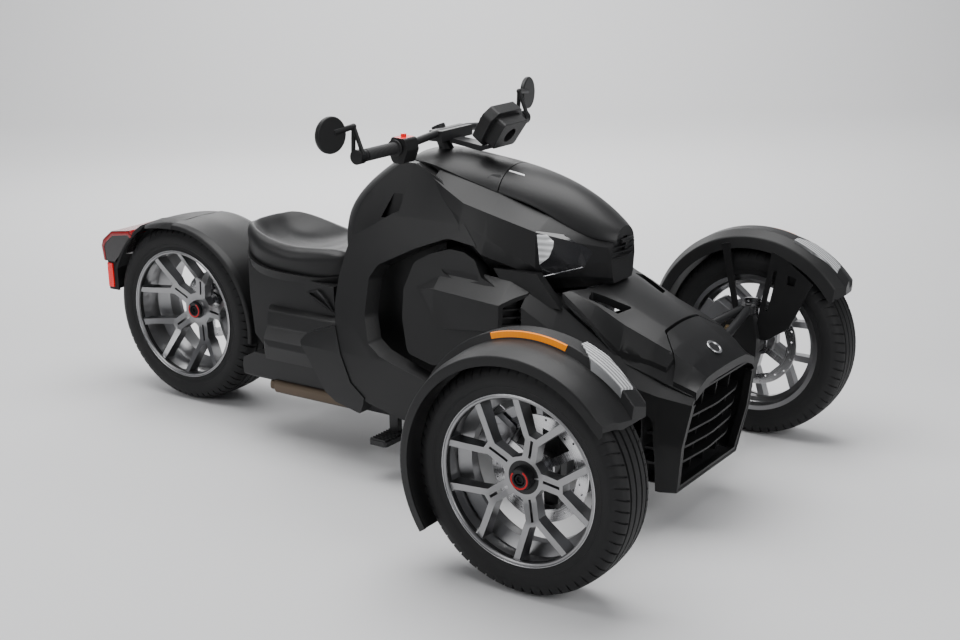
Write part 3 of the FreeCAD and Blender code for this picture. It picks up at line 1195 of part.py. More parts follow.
def handlebar_shape():
    r = size("bar_radius")
    rise = BAR_Z + size("bar_rise")
    grip_in = BAR_HALF - size("grip_length") - 52
    spots = [(-BAR_HALF, BAR_S + 6, BAR_Z), (-grip_in, BAR_S, BAR_Z + 2), (-78, BAR_S - 8, rise),
             (78, BAR_S - 8, rise), (grip_in, BAR_S, BAR_Z + 2), (BAR_HALF, BAR_S + 6, BAR_Z)]
    path = Part.Wire([Part.LineSegment(place(a), place(b)).toShape() for a, b in zip(spots, spots[1:])])
    section = Part.Wire(Part.makeCircle(r, place(spots[0]), place(spots[1]) - place(spots[0])))
    shape = path.makePipeShell([section], True, False, 1)
    stem = Part.makeCylinder(size("column_radius"), 120 - size("running_gap"),
                             column_base - STEER_AXIS * (50 - size("running_gap")), STEER_AXIS)
    clamp = Part.makeBox(150, 44, 30, V(-75, -22, -15))
    clamp.translate(place((0, BAR_S - 8, rise - 6)))
    arm = prism_x([(BAR_S - 20, rise - 16), (BAR_S - 20, rise - 30), (560, 918, 6), (520, 930), (520, 940),
                   (560, 934)], -24, 24)
    ends = [Part.makeCylinder(size("grip_radius") - 1, 14, place((sign * BAR_HALF - 7, BAR_S + 6, BAR_Z)), X_AXIS)
            for sign in (-1, 1)]
    return shape.fuse([stem, clamp, arm] + ends).removeSplitter()


handlebar = handlebar_shape()


def grips_shape():
    length, r = size("grip_length"), size("grip_radius")
    start = BAR_HALF - 8 - length
    piece = rod((start, BAR_S + 4, BAR_Z + 0.6), (start + length, BAR_S + 6, BAR_Z), r)
    flange = rod((start, BAR_S + 4, BAR_Z + 0.6), (start + 6, BAR_S + 4, BAR_Z + 0.6), r + 6)
    return piece.fuse(flange).cut(handlebar)


def pod_switch_shape():
    start = BAR_HALF - 8 - size("grip_length") - 3
    piece = prism_x([(BAR_S - 26, BAR_Z + 26, 10), (BAR_S + 18, BAR_Z + 30, 10), (BAR_S + 32, BAR_Z - 4, 10),
                     (BAR_S + 18, BAR_Z - 42, 14), (BAR_S - 18, BAR_Z - 44, 14), (BAR_S - 34, BAR_Z - 6, 10)],
                    start - 54, start)
    button = rod((start - 30, BAR_S, BAR_Z + 24), (start - 30, BAR_S, BAR_Z + 36), 8)
    return piece.fuse(button).cut(handlebar)


def display_shape():
    """The instrument pod, raked towards the rider, with a hooded bezel and a hexagonal back boss."""
    body = Part.Face(outline([(-78, -34, 10), (-56, -58, 12), (56, -58, 12), (78, -34, 10), (70, 40, 14),
                              (44, 56, 14), (-44, 56, 14), (-70, 40, 14)], lambda p: p)).extrude(V(0, 0, 34))
    back = Part.Face(outline([(-60, -44, 10), (60, -44, 10), (54, 40, 10), (-54, 40, 10)],
                             lambda p: p)).extrude(V(0, 0, -34))
    recess = Part.makeCylinder(22, 24, V(0, 0, -36), Z_AXIS)
    shape = body.fuse(back).cut(recess)
    face_cut = Part.Face(outline([(-66, -30, 8), (-50, -48, 8), (50, -48, 8), (66, -30, 8), (60, 34, 10),
                                  (-60, 34, 10)], lambda p: p)).extrude(V(0, 0, 4))
    face_cut.translate(V(0, 0, 31))
    shape = shape.cut(face_cut)
    shape.Placement = FreeCAD.Placement(place((0, 506, 984)), FreeCAD.Rotation(X_AXIS, -56))
    return shape


def mirror_shape():
    """The left mirror: a bar-end clamp, a forked stay, an arm and a round head."""
    end = BAR_HALF + 7
    clamp = rod((end, BAR_S + 6, BAR_Z), (end + 24, BAR_S + 6, BAR_Z), 20)
    top = (end + 12, BAR_S + 20, size("mirror_height") + 14)
    forks = [rod((end + 12, BAR_S + dy, BAR_Z + 6), top, 6) for dy in (-10, 24)]
    head_at = (BAR_HALF + 92, BAR_S + 44, size("mirror_height"))
    arm = rod(top, (head_at[0] - 8, head_at[1] - 10, head_at[2] + 6), 8)
    head = Part.makeCylinder(size("mirror_radius"), 14)
    head = head.makeFillet(5, [e for e in head.Edges if e.Length > 100])
    head.Placement = FreeCAD.Placement(place(head_at), FreeCAD.Rotation(X_AXIS, 90))
    return fuse(clamp, *forks, arm, head, Part.makeSphere(8, place(top)))


display = display_shape()
handlebar = handlebar.cut(display)
keep("handlebar", handlebar)
keep("grips", both_sides(grips_shape()))
keep("switch_pods", both_sides(pod_switch_shape()))
keep("display", display)
keep("mirrors", both_sides(mirror_shape().cut(handlebar)))


# Check every piece, then write one file for each
doc.recompute()
for item in doc.Objects:
    if "Invalid" in item.State or "Error" in item.State:
        raise SystemExit(f"{item.Label} failed: {item.State}")
for name, item in nodes.items():
    shape = item.Shape
    if shape.isNull() or not shape.isValid() or not shape.Solids:
        raise SystemExit(f"{name} has no valid solid")
os.makedirs("parts", exist_ok=True)
for name, item in nodes.items():
    item.Shape.exportStep(f"parts/{name}.step")
print(len(nodes), "sub-parts")
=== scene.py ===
import json
import math

import bmesh
import bpy
from mathutils import Euler, Matrix, Vector


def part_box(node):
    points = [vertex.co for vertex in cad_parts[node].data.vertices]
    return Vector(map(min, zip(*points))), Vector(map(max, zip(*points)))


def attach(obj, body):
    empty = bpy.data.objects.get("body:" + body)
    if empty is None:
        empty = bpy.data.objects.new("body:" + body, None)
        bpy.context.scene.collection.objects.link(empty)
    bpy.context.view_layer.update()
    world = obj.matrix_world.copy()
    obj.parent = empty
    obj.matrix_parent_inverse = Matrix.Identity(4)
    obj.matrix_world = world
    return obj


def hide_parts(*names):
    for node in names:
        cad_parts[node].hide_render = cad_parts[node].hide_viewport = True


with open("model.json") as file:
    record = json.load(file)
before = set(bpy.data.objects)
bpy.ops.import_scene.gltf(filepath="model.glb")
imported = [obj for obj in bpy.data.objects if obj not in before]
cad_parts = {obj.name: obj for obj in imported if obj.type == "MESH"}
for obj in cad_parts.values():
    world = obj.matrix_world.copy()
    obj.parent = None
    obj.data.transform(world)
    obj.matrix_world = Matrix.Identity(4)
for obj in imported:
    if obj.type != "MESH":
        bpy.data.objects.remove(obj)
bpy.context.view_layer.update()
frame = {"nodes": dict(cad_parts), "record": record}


# Studio: a pale sweep of floor and wall, the photograph's camera, and soft boxes overhead,
# beside and behind the vehicle, which give the black plastics their long grey sheens.

def deselect():
    """Clears the selection, so that the next operator acts on its own piece alone."""
    if bpy.context.object and bpy.context.object.mode != "OBJECT":
        bpy.ops.object.mode_set(mode="OBJECT")
    bpy.ops.object.select_all(action="DESELECT")


def shader(name, color, roughness, metallic=0.0):
    """A new material and its Principled shader, with the plain values on the shader's own sockets."""
    material = bpy.data.materials.new(name)
    material.use_nodes = True
    surface = material.node_tree.nodes["Principled BSDF"]
    surface.inputs["Base Color"].default_value = (*color, 1)
    surface.inputs["Roughness"].default_value = roughness
    surface.inputs["Metallic"].default_value = metallic
    return material, surface


FLOOR_REACH, WALL_TOP, SWEEP_RADIUS = 9.0, 8.0, 2.4
camera_data = bpy.data.cameras.new("camera")
camera_data.lens = 55.83
camera_data.sensor_width = 36
camera_data.clip_end = 60
camera = bpy.data.objects.new("camera", camera_data)
bpy.context.scene.collection.objects.link(camera)
camera.location = (-3.41627, -2.65554, 1.61380)
camera.rotation_euler = Euler([math.radians(a) for a in (73.9292, 0.9233, -55.6565)])
bpy.context.scene.camera = camera

deselect()
bpy.ops.mesh.primitive_plane_add(size=1)
sweep = bpy.context.object
sweep.name = "studio_sweep"
bpy.ops.object.mode_set(mode="EDIT")
sweep_mesh = bmesh.from_edit_mesh(sweep.data)
view_way = Vector((0.81, 0.56, 0)).normalized()
across = Vector((-view_way.y, view_way.x, 0))
for vertex in sweep_mesh.verts:
    vertex.co = view_way * (vertex.co.x * 2 * FLOOR_REACH) + across * (vertex.co.y * 4 * FLOOR_REACH)
far_edge = [e for e in sweep_mesh.edges if all(v.co.dot(view_way) > FLOOR_REACH - 0.1 for v in e.verts)]
raised = bmesh.ops.extrude_edge_only(sweep_mesh, edges=far_edge)
for item in raised["geom"]:
    if isinstance(item, bmesh.types.BMVert):
        item.co.z += WALL_TOP
bmesh.ops.bevel(sweep_mesh, geom=far_edge, offset=SWEEP_RADIUS, segments=24, affect="EDGES", profile=0.5)
bmesh.update_edit_mesh(sweep.data)
bpy.ops.object.mode_set(mode="OBJECT")
bpy.ops.object.shade_smooth()
paper, _ = shader("studio_paper", (0.70, 0.70, 0.705), 0.75)
sweep.data.materials.append(paper)


def soft_box(name, spot, aim, width, height, power):
    """A rectangular area light at spot that faces aim."""
    light = bpy.data.lights.new(name, "AREA")
    light.shape = "RECTANGLE"
    light.size, light.size_y, light.energy = width, height, power
    lamp = bpy.data.objects.new(name, light)
    bpy.context.scene.collection.objects.link(lamp)
    lamp.location = spot
    lamp.rotation_euler = (Vector(aim) - Vector(spot)).to_track_quat("-Z", "Y").to_euler()


soft_box("overhead", (0.2, 0.2, 4.2), (0, 0, 0.3), 4.5, 3.2, 285)
soft_box("front_left", (-1.2, -4.6, 2.4), (0, 0, 0.5), 2.6, 2.0, 85)
soft_box("side", (-4.4, 1.6, 2.6), (0, 0.2, 0.4), 2.6, 1.8, 55)
soft_box("behind", (3.4, 3.0, 2.6), (0, 0, 0.6), 3.0, 1.6, 60)
soft_box("wall_wash", (3.0, 2.0, 5.2), (8.0, 5.6, 1.6), 5.0, 1.5, 600)
world = bpy.data.worlds.new("studio_air")
world.use_nodes = True
world.node_tree.nodes["Background"].inputs["Color"].default_value = (0.92, 0.94, 1.0, 1)
world.node_tree.nodes["Background"].inputs["Strength"].default_value = 0.20
bpy.context.scene.world = world


# Finishes used all over the vehicle. The moulded plastics have a fine leather-like grain and a slightly
# uneven sheen; the metals have fine scratches, cast texture or turned rings; the lenses have moulded ribs,
# with shade painted into their colour between the ribs.

def moulded_grain():
    """Group: colour that varies a little, sheen that varies, and a fine bump, from Object coordinates."""
    group = bpy.data.node_groups.new("moulded_grain", "ShaderNodeTree")
    for socket, kind in (("Color", "NodeSocketColor"), ("Grain", "NodeSocketFloat"),
                         ("Depth", "NodeSocketFloat"), ("Sheen", "NodeSocketFloat"),
                         ("Uneven", "NodeSocketFloat")):
        group.interface.new_socket(socket, in_out="INPUT", socket_type=kind)
    for socket, kind in (("Color", "NodeSocketColor"), ("Roughness", "NodeSocketFloat"),
                         ("Normal", "NodeSocketVector")):
        group.interface.new_socket(socket, in_out="OUTPUT", socket_type=kind)
    nodes, links = group.nodes, group.links
    entry, leave = nodes.new("NodeGroupInput"), nodes.new("NodeGroupOutput")
    place = nodes.new("ShaderNodeTexCoord")
    fine = nodes.new("ShaderNodeTexNoise")
    fine.inputs["Detail"].default_value = 3
    broad = nodes.new("ShaderNodeTexNoise")
    broad.inputs["Scale"].default_value = 7
    broad.inputs["Detail"].default_value = 4
    links.new(place.outputs["Object"], fine.inputs["Vector"])
    links.new(place.outputs["Object"], broad.inputs["Vector"])
    links.new(entry.outputs["Grain"], fine.inputs["Scale"])
    bump = nodes.new("ShaderNodeBump")
    bump.inputs["Distance"].default_value = 0.0006
    links.new(entry.outputs["Depth"], bump.inputs["Strength"])
    links.new(fine.outputs["Fac"], bump.inputs["Height"])
    links.new(bump.outputs["Normal"], leave.inputs["Normal"])
    centred = nodes.new("ShaderNodeMath")
    centred.operation = "SUBTRACT"
    centred.inputs[1].default_value = 0.5
    links.new(broad.outputs["Fac"], centred.inputs[0])
    spread = nodes.new("ShaderNodeMath")
    spread.operation = "MULTIPLY"
    links.new(centred.outputs[0], spread.inputs[0])
    links.new(entry.outputs["Uneven"], spread.inputs[1])
    sheen = nodes.new("ShaderNodeMath")
    sheen.operation = "ADD"
    links.new(entry.outputs["Sheen"], sheen.inputs[0])
    links.new(spread.outputs[0], sheen.inputs[1])
    links.new(sheen.outputs[0], leave.inputs["Roughness"])
    bright = nodes.new("ShaderNodeBrightContrast")
    links.new(entry.outputs["Color"], bright.inputs["Color"])
    darker = nodes.new("ShaderNodeMath")
    darker.operation = "MULTIPLY"
    darker.inputs[1].default_value = 0.04
    links.new(spread.outputs[0], darker.inputs[0])
    links.new(darker.outputs[0], bright.inputs["Bright"])
    links.new(bright.outputs["Color"], leave.inputs["Color"])
    return group


GRAIN = moulded_grain()


def grained(name, color, roughness, metallic=0.0, grain=900.0, depth=0.35, uneven=0.16):
    """A material whose colour, sheen and bump come through the moulded_grain group."""
    material, surface = shader(name, color, roughness, metallic)
    surface.inputs["Specular IOR Level"].default_value = 0.5 if metallic else 0.34
    tree = material.node_tree
    effect = tree.nodes.new("ShaderNodeGroup")
    effect.node_tree = GRAIN
    for socket, value in (("Color", (*color, 1)), ("Grain", grain), ("Depth", depth), ("Sheen", roughness),
                          ("Uneven", uneven)):
        effect.inputs[socket].default_value = value
    tree.links.new(effect.outputs["Color"], surface.inputs["Base Color"])
    tree.links.new(effect.outputs["Roughness"], surface.inputs["Roughness"])
    tree.links.new(effect.outputs["Normal"], surface.inputs["Normal"])
    return material


def math_node(tree, operation, first, second=None):
    """A math node in a tree, with sockets or numbers for its inputs."""
    node = tree.nodes.new("ShaderNodeMath")
    node.operation = operation
    for socket, value in zip(node.inputs, (first, second)):
        if isinstance(value, (int, float)):
            socket.default_value = value
        elif value is not None:
            tree.links.new(value, socket)
    return node.outputs[0]


def banded_height():
    """Group: the Normal of ribs that run across a direction, so many to the metre, and a mask, low in the
    grooves, for painted shade.
    """
    group = bpy.data.node_groups.new("moulded_ribs", "ShaderNodeTree")
    group.interface.new_socket("Way", in_out="INPUT", socket_type="NodeSocketVector")
    group.interface.new_socket("Count", in_out="INPUT", socket_type="NodeSocketFloat")
    group.interface.new_socket("Depth", in_out="INPUT", socket_type="NodeSocketFloat")
    group.interface.new_socket("Normal", in_out="OUTPUT", socket_type="NodeSocketVector")
    group.interface.new_socket("Mask", in_out="OUTPUT", socket_type="NodeSocketFloat")
    nodes, links = group.nodes, group.links
    entry, leave = nodes.new("NodeGroupInput"), nodes.new("NodeGroupOutput")
    place = nodes.new("ShaderNodeTexCoord")
    along = nodes.new("ShaderNodeVectorMath")
    along.operation = "DOT_PRODUCT"
    links.new(place.outputs["Object"], along.inputs[0])
    links.new(entry.outputs["Way"], along.inputs[1])
    turns = math_node(group, "MULTIPLY", along.outputs["Value"], entry.outputs["Count"])
    wave = math_node(group, "SINE", math_node(group, "MULTIPLY", turns, 2 * math.pi))
    bump = nodes.new("ShaderNodeBump")
    bump.inputs["Distance"].default_value = 0.001
    links.new(entry.outputs["Depth"], bump.inputs["Strength"])
    links.new(wave, bump.inputs["Height"])
    links.new(bump.outputs["Normal"], leave.inputs["Normal"])
    links.new(math_node(group, "MULTIPLY_ADD", wave, 0.5), leave.inputs["Mask"])
    return group


RIBS = banded_height()


def lens(name, color, roughness, way, count, depth, painted_groove_shade, metallic=0.0, clear=0.0):
    """A lamp's moulded plastic, ribbed across a direction, with shade painted into its colour between the
    ribs.
    """
    material, surface = shader(name, color, roughness, metallic)
    surface.inputs["Transmission Weight"].default_value = clear
    surface.inputs["Coat Weight"].default_value = 0.6
    surface.inputs["Coat Roughness"].default_value = 0.05
    tree = material.node_tree
    effect = tree.nodes.new("ShaderNodeGroup")
    effect.node_tree = RIBS
    effect.inputs["Way"].default_value = way
    effect.inputs["Count"].default_value = count
    effect.inputs["Depth"].default_value = depth
    # Painted shade: the colour in the grooves between the ribs is darkened by the groove shade factor.
    mix = tree.nodes.new("ShaderNodeMix")
    mix.data_type = "RGBA"
    mix.inputs["A"].default_value = (*[c * painted_groove_shade for c in color], 1)
    mix.inputs["B"].default_value = (*color, 1)
    tree.links.new(effect.outputs["Mask"], mix.inputs["Factor"])
    tree.links.new(mix.outputs["Result"], surface.inputs["Base Color"])
    tree.links.new(effect.outputs["Normal"], surface.inputs["Normal"])
    return material


def turned_rings():
    """Group: fine rings about a wheel's axle, as a lathe leaves them, in roughness and normal."""
    group = bpy.data.node_groups.new("turned_rings", "ShaderNodeTree")
    for socket, kind in (("Centre", "NodeSocketVector"), ("Sheen", "NodeSocketFloat")):
        group.interface.new_socket(socket, in_out="INPUT", socket_type=kind)
    for socket, kind in (("Roughness", "NodeSocketFloat"), ("Normal", "NodeSocketVector")):
        group.interface.new_socket(socket, in_out="OUTPUT", socket_type=kind)
    nodes, links = group.nodes, group.links
    entry, leave = nodes.new("NodeGroupInput"), nodes.new("NodeGroupOutput")
    place = nodes.new("ShaderNodeTexCoord")
    offset = nodes.new("ShaderNodeVectorMath")
    offset.operation = "SUBTRACT"
    links.new(place.outputs["Object"], offset.inputs[0])
    links.new(entry.outputs["Centre"], offset.inputs[1])
    flat = nodes.new("ShaderNodeVectorMath")
    flat.operation = "MULTIPLY"
    flat.inputs[1].default_value = (0, 1, 1)
    links.new(offset.outputs["Vector"], flat.inputs[0])
    reach = nodes.new("ShaderNodeVectorMath")
    reach.operation = "LENGTH"
    links.new(flat.outputs["Vector"], reach.inputs[0])
    rings = nodes.new("ShaderNodeTexNoise")
    rings.noise_dimensions = "1D"
    rings.inputs["Scale"].default_value = 900
    rings.inputs["Detail"].default_value = 3
    links.new(reach.outputs["Value"], rings.inputs["W"])
    bump = nodes.new("ShaderNodeBump")
    bump.inputs["Strength"].default_value = 0.25
    bump.inputs["Distance"].default_value = 0.0004
    links.new(rings.outputs["Fac"], bump.inputs["Height"])
    links.new(bump.outputs["Normal"], leave.inputs["Normal"])
    uneven = math_node(group, "MULTIPLY", math_node(group, "SUBTRACT", rings.outputs["Fac"], 0.5), 0.3)
    links.new(math_node(group, "ADD", uneven, entry.outputs["Sheen"]), leave.inputs["Roughness"])
    return group


RINGS = turned_rings()


def lathed(name, color, roughness, centre):
    """Bare metal turned about a wheel's axle at centre."""
    material, surface = shader(name, color, roughness, 1.0)
    tree = material.node_tree
    effect = tree.nodes.new("ShaderNodeGroup")
    effect.node_tree = RINGS
    effect.inputs["Centre"].default_value = centre
    effect.inputs["Sheen"].default_value = roughness
    tree.links.new(effect.outputs["Roughness"], surface.inputs["Roughness"])
    tree.links.new(effect.outputs["Normal"], surface.inputs["Normal"])
    return material


textured_black = grained("textured_black", (0.0100, 0.0100, 0.0104), 0.46)
satin_black = grained("satin_black", (0.0090, 0.0090, 0.0094), 0.40, grain=1400, depth=0.12, uneven=0.10)
fairing_black = grained("fairing_black", (0.007, 0.007, 0.0075), 0.46, grain=1400, depth=0.12, uneven=0.10)
deep_black = grained("deep_black", (0.008, 0.008, 0.009), 0.62)
frame_black = grained("frame_black", (0.016, 0.016, 0.017), 0.42, grain=500, depth=0.2)
cast_grey = grained("cast_grey", (0.36, 0.36, 0.37), 0.40, 1.0, grain=420, depth=0.5, uneven=0.25)
cast_black = grained("cast_black", (0.022, 0.022, 0.023), 0.45, 0.4, grain=420, depth=0.5, uneven=0.2)
tyre_rubber = grained("tyre_rubber", (0.0095, 0.0095, 0.010), 0.66, grain=600, depth=0.5, uneven=0.12)
bright_steel = grained("bright_steel", (0.62, 0.62, 0.63), 0.26, 1.0, grain=700, depth=0.08, uneven=0.15)


def body_of(node):
    return next(body for body, members in frame["record"]["behaviour"]["bodies"].items() if node in members)


def welded_copy(node, name):
    """A copy of a CAD node with its loose triangles merged and its flat faces made whole."""
    source = frame["nodes"][node]
    piece = bpy.data.objects.new(name, source.data.copy())
    bpy.context.scene.collection.objects.link(piece)
    piece.data.materials.clear()
    deselect()
    piece.select_set(True)
    bpy.context.view_layer.objects.active = piece
    bpy.ops.object.mode_set(mode="EDIT")
    bpy.ops.mesh.select_all(action="SELECT")
    bpy.ops.mesh.remove_doubles(threshold=0.00002)
    bpy.ops.mesh.dissolve_limited(angle_limit=math.radians(0.15))
    bpy.ops.object.mode_set(mode="OBJECT")
    return piece


def ease_edges(piece, width, corner=32, segments=2):
    """Rounds a piece's sharp edges by width metres and smooths what lies between them."""
    bevel = piece.modifiers.new("eased", "BEVEL")
    bevel.width = width
    bevel.segments = segments
    bevel.limit_method = "ANGLE"
    bevel.angle_limit = math.radians(corner)
    bevel.miter_outer = "MITER_ARC"
    deselect()
    piece.select_set(True)
    bpy.context.view_layer.objects.active = piece
    bpy.ops.object.modifier_apply(modifier="eased")
    even_shading(piece, corner + 6)


def even_shading(piece, corner):
    """Smooth shading between edges sharper than corner degrees, weighted by face area."""
    deselect()
    piece.select_set(True)
    bpy.context.view_layer.objects.active = piece
    bpy.ops.object.shade_smooth_by_angle(angle=math.radians(corner))
    weigh = piece.modifiers.new("weighed", "WEIGHTED_NORMAL")
    weigh.keep_sharp = True
    bpy.ops.object.modifier_apply(modifier="weighed")


def panel(node, finish, width=0.0012, corner=32, segments=2):
    """The shown form of a CAD node: welded, with eased edges, in one finish."""
    piece = welded_copy(node, node + "_shown")
    if width:
        ease_edges(piece, width, corner, segments)
    else:
        even_shading(piece, corner + 6)
    piece.data.materials.append(finish)
    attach(piece, body_of(node))
    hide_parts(node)
    return piece


# Tyres: a black rubber carcass moulded in one piece, seated on the rim's two beads. Two grooves run round
# the tread, slanted sipes cut its shoulders, and the sidewalls carry fine raised rings.

def smooth_between(points, x):
    """Height at x on a smooth line through rising points."""
    for (x0, y0), (x1, y1) in zip(points, points[1:]):
        if x <= x1:
            t = (x - x0) / (x1 - x0)
            return y0 + (y1 - y0) * t
    return points[-1][1]


def tyre_half_profile(radius, half, lip_at, bead, groove):
    """From the crown to the bead: (across, radius, sipe depth) rows of one half of the tyre's outside."""
    crown = [(0, radius), (half * 0.30, radius - 0.0004), (half * 0.66, radius - 0.003),
             (half * 0.84, radius - 0.010), (half * 0.93, radius - 0.020), (half * 0.975, radius - 0.032)]
    rows = [(0, 0), (0.07, 0), (0.13, 0), (0.145, -groove), (0.205, -groove), (0.22, 0), (0.33, 0),
            (0.44, 0), (0.455, -groove), (0.515, -groove), (0.53, 0), (0.545, 0)]
    points = [(share * half, smooth_between(crown, share * half) + drop, 0) for share, drop in rows]
    for share in (0.60, 0.68, 0.76, 0.84, 0.90, 0.94):
        points.append((share * half, smooth_between(crown, share * half), 1 if 0.58 < share < 0.93 else 0.4))
    side_top, side_low = radius - 0.030, 0.2250
    bulge = [(0.975, 0.98), (0.992, 0.90), (1.0, 0.76), (1.0, 0.60), (0.994, 0.44), (0.982, 0.30),
             (0.972, 0.28), (0.972, 0.22), (0.960, 0.20), (0.935, 0.08), (0.92, 0.0)]
    points += [(share * half, side_low + (side_top - side_low) * t, 0) for share, t in bulge]
    points += [(lip_at + 0.0068, 0.2185, 0), (lip_at + 0.0062, 0.2130, 0), (lip_at, bead, 0)]
    return points


def tyre_piece(name, node, radius, width, rim_width):
    """A tyre wrapped round its axle from a grid: one way across its section, the other round the wheel."""
    low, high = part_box(node)
    centre = (low + high) / 2
    half, lip_at, bead = width / 2, rim_width / 2 - 0.0052, 0.2032
    near = tyre_half_profile(radius, half, lip_at, bead, GROOVE_DEPTH)
    inside = [(lip_at - 0.014, bead, 0), (half - 0.02, 0.245, 0), (half * 0.7, radius - 0.022, 0)]
    loop = ([(-a, r, s) for a, r, s in reversed(near[1:])] + near + inside
            + [(-a, r, s) for a, r, s in reversed(inside)])
    rows_round = PITCHES * len(PITCH_ROWS)
    deselect()
    bpy.ops.mesh.primitive_grid_add(x_subdivisions=len(loop), y_subdivisions=rows_round, size=1)
    tyre = bpy.context.object
    tyre.name = name
    columns = len(loop) + 1
    for index, vertex in enumerate(tyre.data.vertices):
        across, reach, sipe = loop[(index % columns) % len(loop)]
        row = (index // columns) % rows_round
        share, cut = PITCH_ROWS[row % len(PITCH_ROWS)]
        turn = (row // len(PITCH_ROWS) + share) / PITCHES * 2 * math.pi
        turn += SIPE_SLANT * min(abs(across) / half, 0.95) ** 2
        reach -= sipe * cut * SIPE_DEPTH
        vertex.co = (centre.x + across, centre.y + reach * math.sin(turn), centre.z + reach * math.cos(turn))
    bpy.ops.object.mode_set(mode="EDIT")
    bpy.ops.mesh.select_all(action="SELECT")
    bpy.ops.mesh.remove_doubles(threshold=0.00001)
    bpy.ops.mesh.normals_make_consistent(inside=False)
    bpy.ops.object.mode_set(mode="OBJECT")
    bpy.ops.object.shade_smooth_by_angle(angle=math.radians(30))
    tyre.data.materials.append(tyre_rubber)
    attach(tyre, body_of(node))
    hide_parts(node)
    return tyre


PITCHES = 64
PITCH_ROWS = ((0.0, 0), (0.03, 1), (0.15, 1), (0.18, 0), (0.45, 0), (0.72, 0))
GROOVE_DEPTH, SIPE_DEPTH, SIPE_SLANT = 0.0055, 0.0052, math.radians(3.4)
for side in ("left", "right"):
    tyre_piece("tread_front_" + side, "tyre_front_" + side, 0.290, 0.146, 0.130)
tyre_piece("tread_rear", "tyre_rear", 0.295, 0.207, 0.190)


# Wheels' rims: cast aluminium in a satin graphite paint, with a flange and a lip turned bright. Each
# centre has a black nut with a plain red ring let into its face.

def face_finish(piece, finish, chosen):
    """Gives a further finish to the faces whose middle and normal pass a test."""
    piece.data.materials.append(finish)
    for face in piece.data.polygons:
        if chosen(face.center, face.normal):
            face.material_index = len(piece.data.materials) - 1


def settle(piece, name, finish, body, corner=35):
    """Names a new piece, puts its place into its mesh, and gives it shading, finish and body."""
    deselect()
    piece.name = name
    piece.select_set(True)
    bpy.context.view_layer.objects.active = piece
    bpy.ops.object.transform_apply(location=True, rotation=True, scale=True)
    bpy.ops.object.shade_smooth_by_angle(angle=math.radians(corner))
    piece.data.materials.clear()
    piece.data.materials.append(finish)
    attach(piece, body)
    return piece


def turned(name, centre, axis, steps, finish, body, sides=28):
    """A closed round piece about axis 0, 1 or 2 through centre, from (along, radius) steps."""
    way = Vector([float(i == axis) for i in range(3)])
    lean = ((0, math.pi / 2, 0), (math.pi / 2, 0, 0), (0, 0, 0))[axis]
    deselect()
    bpy.ops.mesh.primitive_circle_add(vertices=sides, radius=steps[0][1], fill_type="NGON",
                                      location=Vector(centre) + way * steps[0][0], rotation=lean)
    piece = bpy.context.object
    bpy.ops.object.mode_set(mode="EDIT")
    bpy.ops.mesh.select_all(action="SELECT")
    for (start, radius), (end, reach) in zip(steps, steps[1:]):
        bpy.ops.mesh.extrude_region_move(TRANSFORM_OT_translate={"value": way * (end - start)})
        scale = [1.0 if i == axis else reach / radius for i in range(3)]
        bpy.ops.transform.resize(value=scale, center_override=Vector(centre) + way * end)
    bpy.ops.mesh.select_all(action="SELECT")
    bpy.ops.mesh.normals_make_consistent(inside=False)
    bpy.ops.object.mode_set(mode="OBJECT")
    return settle(piece, name, finish, body)


def tube(name, points, thickness, finish, body, closed=False):
    """A round bar of one thickness that follows points in a smooth line."""
    curve = bpy.data.curves.new(name, "CURVE")
    curve.dimensions = "3D"
    curve.bevel_depth = thickness / 2
    curve.bevel_resolution = 3
    curve.use_fill_caps = not closed
    line = curve.splines.new("POLY")
    line.points.add(len(points) - 1)
    for spot, point in zip(line.points, points):
        spot.co = (*point, 1)
    line.use_cyclic_u = closed
    piece = bpy.data.objects.new(name, curve)
    bpy.context.scene.collection.objects.link(piece)
    deselect()
    piece.select_set(True)
    bpy.context.view_layer.objects.active = piece
    bpy.ops.object.convert(target="MESH")
    return settle(bpy.context.object, name, finish, body, 50)


def ring_points(centre, radius, start, end, count):
    """Points round an axle along X, from one angle to another in degrees."""
    angles = [math.radians(start + (end - start) * i / (count - 1)) for i in range(count)]
    return [Vector(centre) + Vector((0, radius * math.cos(a), radius * math.sin(a))) for a in angles]


def mirrored(piece, name, body):
    """A copy of a right-hand piece for the left side, with a mesh of its own."""
    twin = bpy.data.objects.new(name, piece.data.copy())
    bpy.context.scene.collection.objects.link(twin)
    twin.data.transform(Matrix.Diagonal((-1, 1, 1, 1)))
    deselect()
    twin.select_set(True)
    bpy.context.view_layer.objects.active = twin
    bpy.ops.object.mode_set(mode="EDIT")
    bpy.ops.mesh.select_all(action="SELECT")
    bpy.ops.mesh.normals_make_consistent(inside=False)
    bpy.ops.object.mode_set(mode="OBJECT")
    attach(twin, body)
    return twin


def off_axle(centre):
    """How far a point lies from the nearer wheel's axle."""
    front = math.hypot(centre.y - FRONT_AXLE[0], centre.z - FRONT_AXLE[1])
    return min(front, math.hypot(centre.y - REAR_AXLE[0], centre.z - REAR_AXLE[1]))


def flare_windows(rim, centre, way, web_back):
    """Carries the windows and the barrel's outer end out towards the lip, as the real thin edge has them."""
    for vertex in rim.data.vertices:
        offset = vertex.co - Vector(centre)
        radius = math.hypot(offset.y, offset.z)
        share = min(max((way * offset.x - web_back) / FLARE_FADE + 1, 0), 1)
        if radius < HUB_RADIUS or not share:
            continue
        moved = smooth_between(FLARE, radius)
        grow = 1 + (moved / radius - 1) * share
        vertex.co = Vector(centre) + Vector((offset.x, offset.y * grow, offset.z * grow))


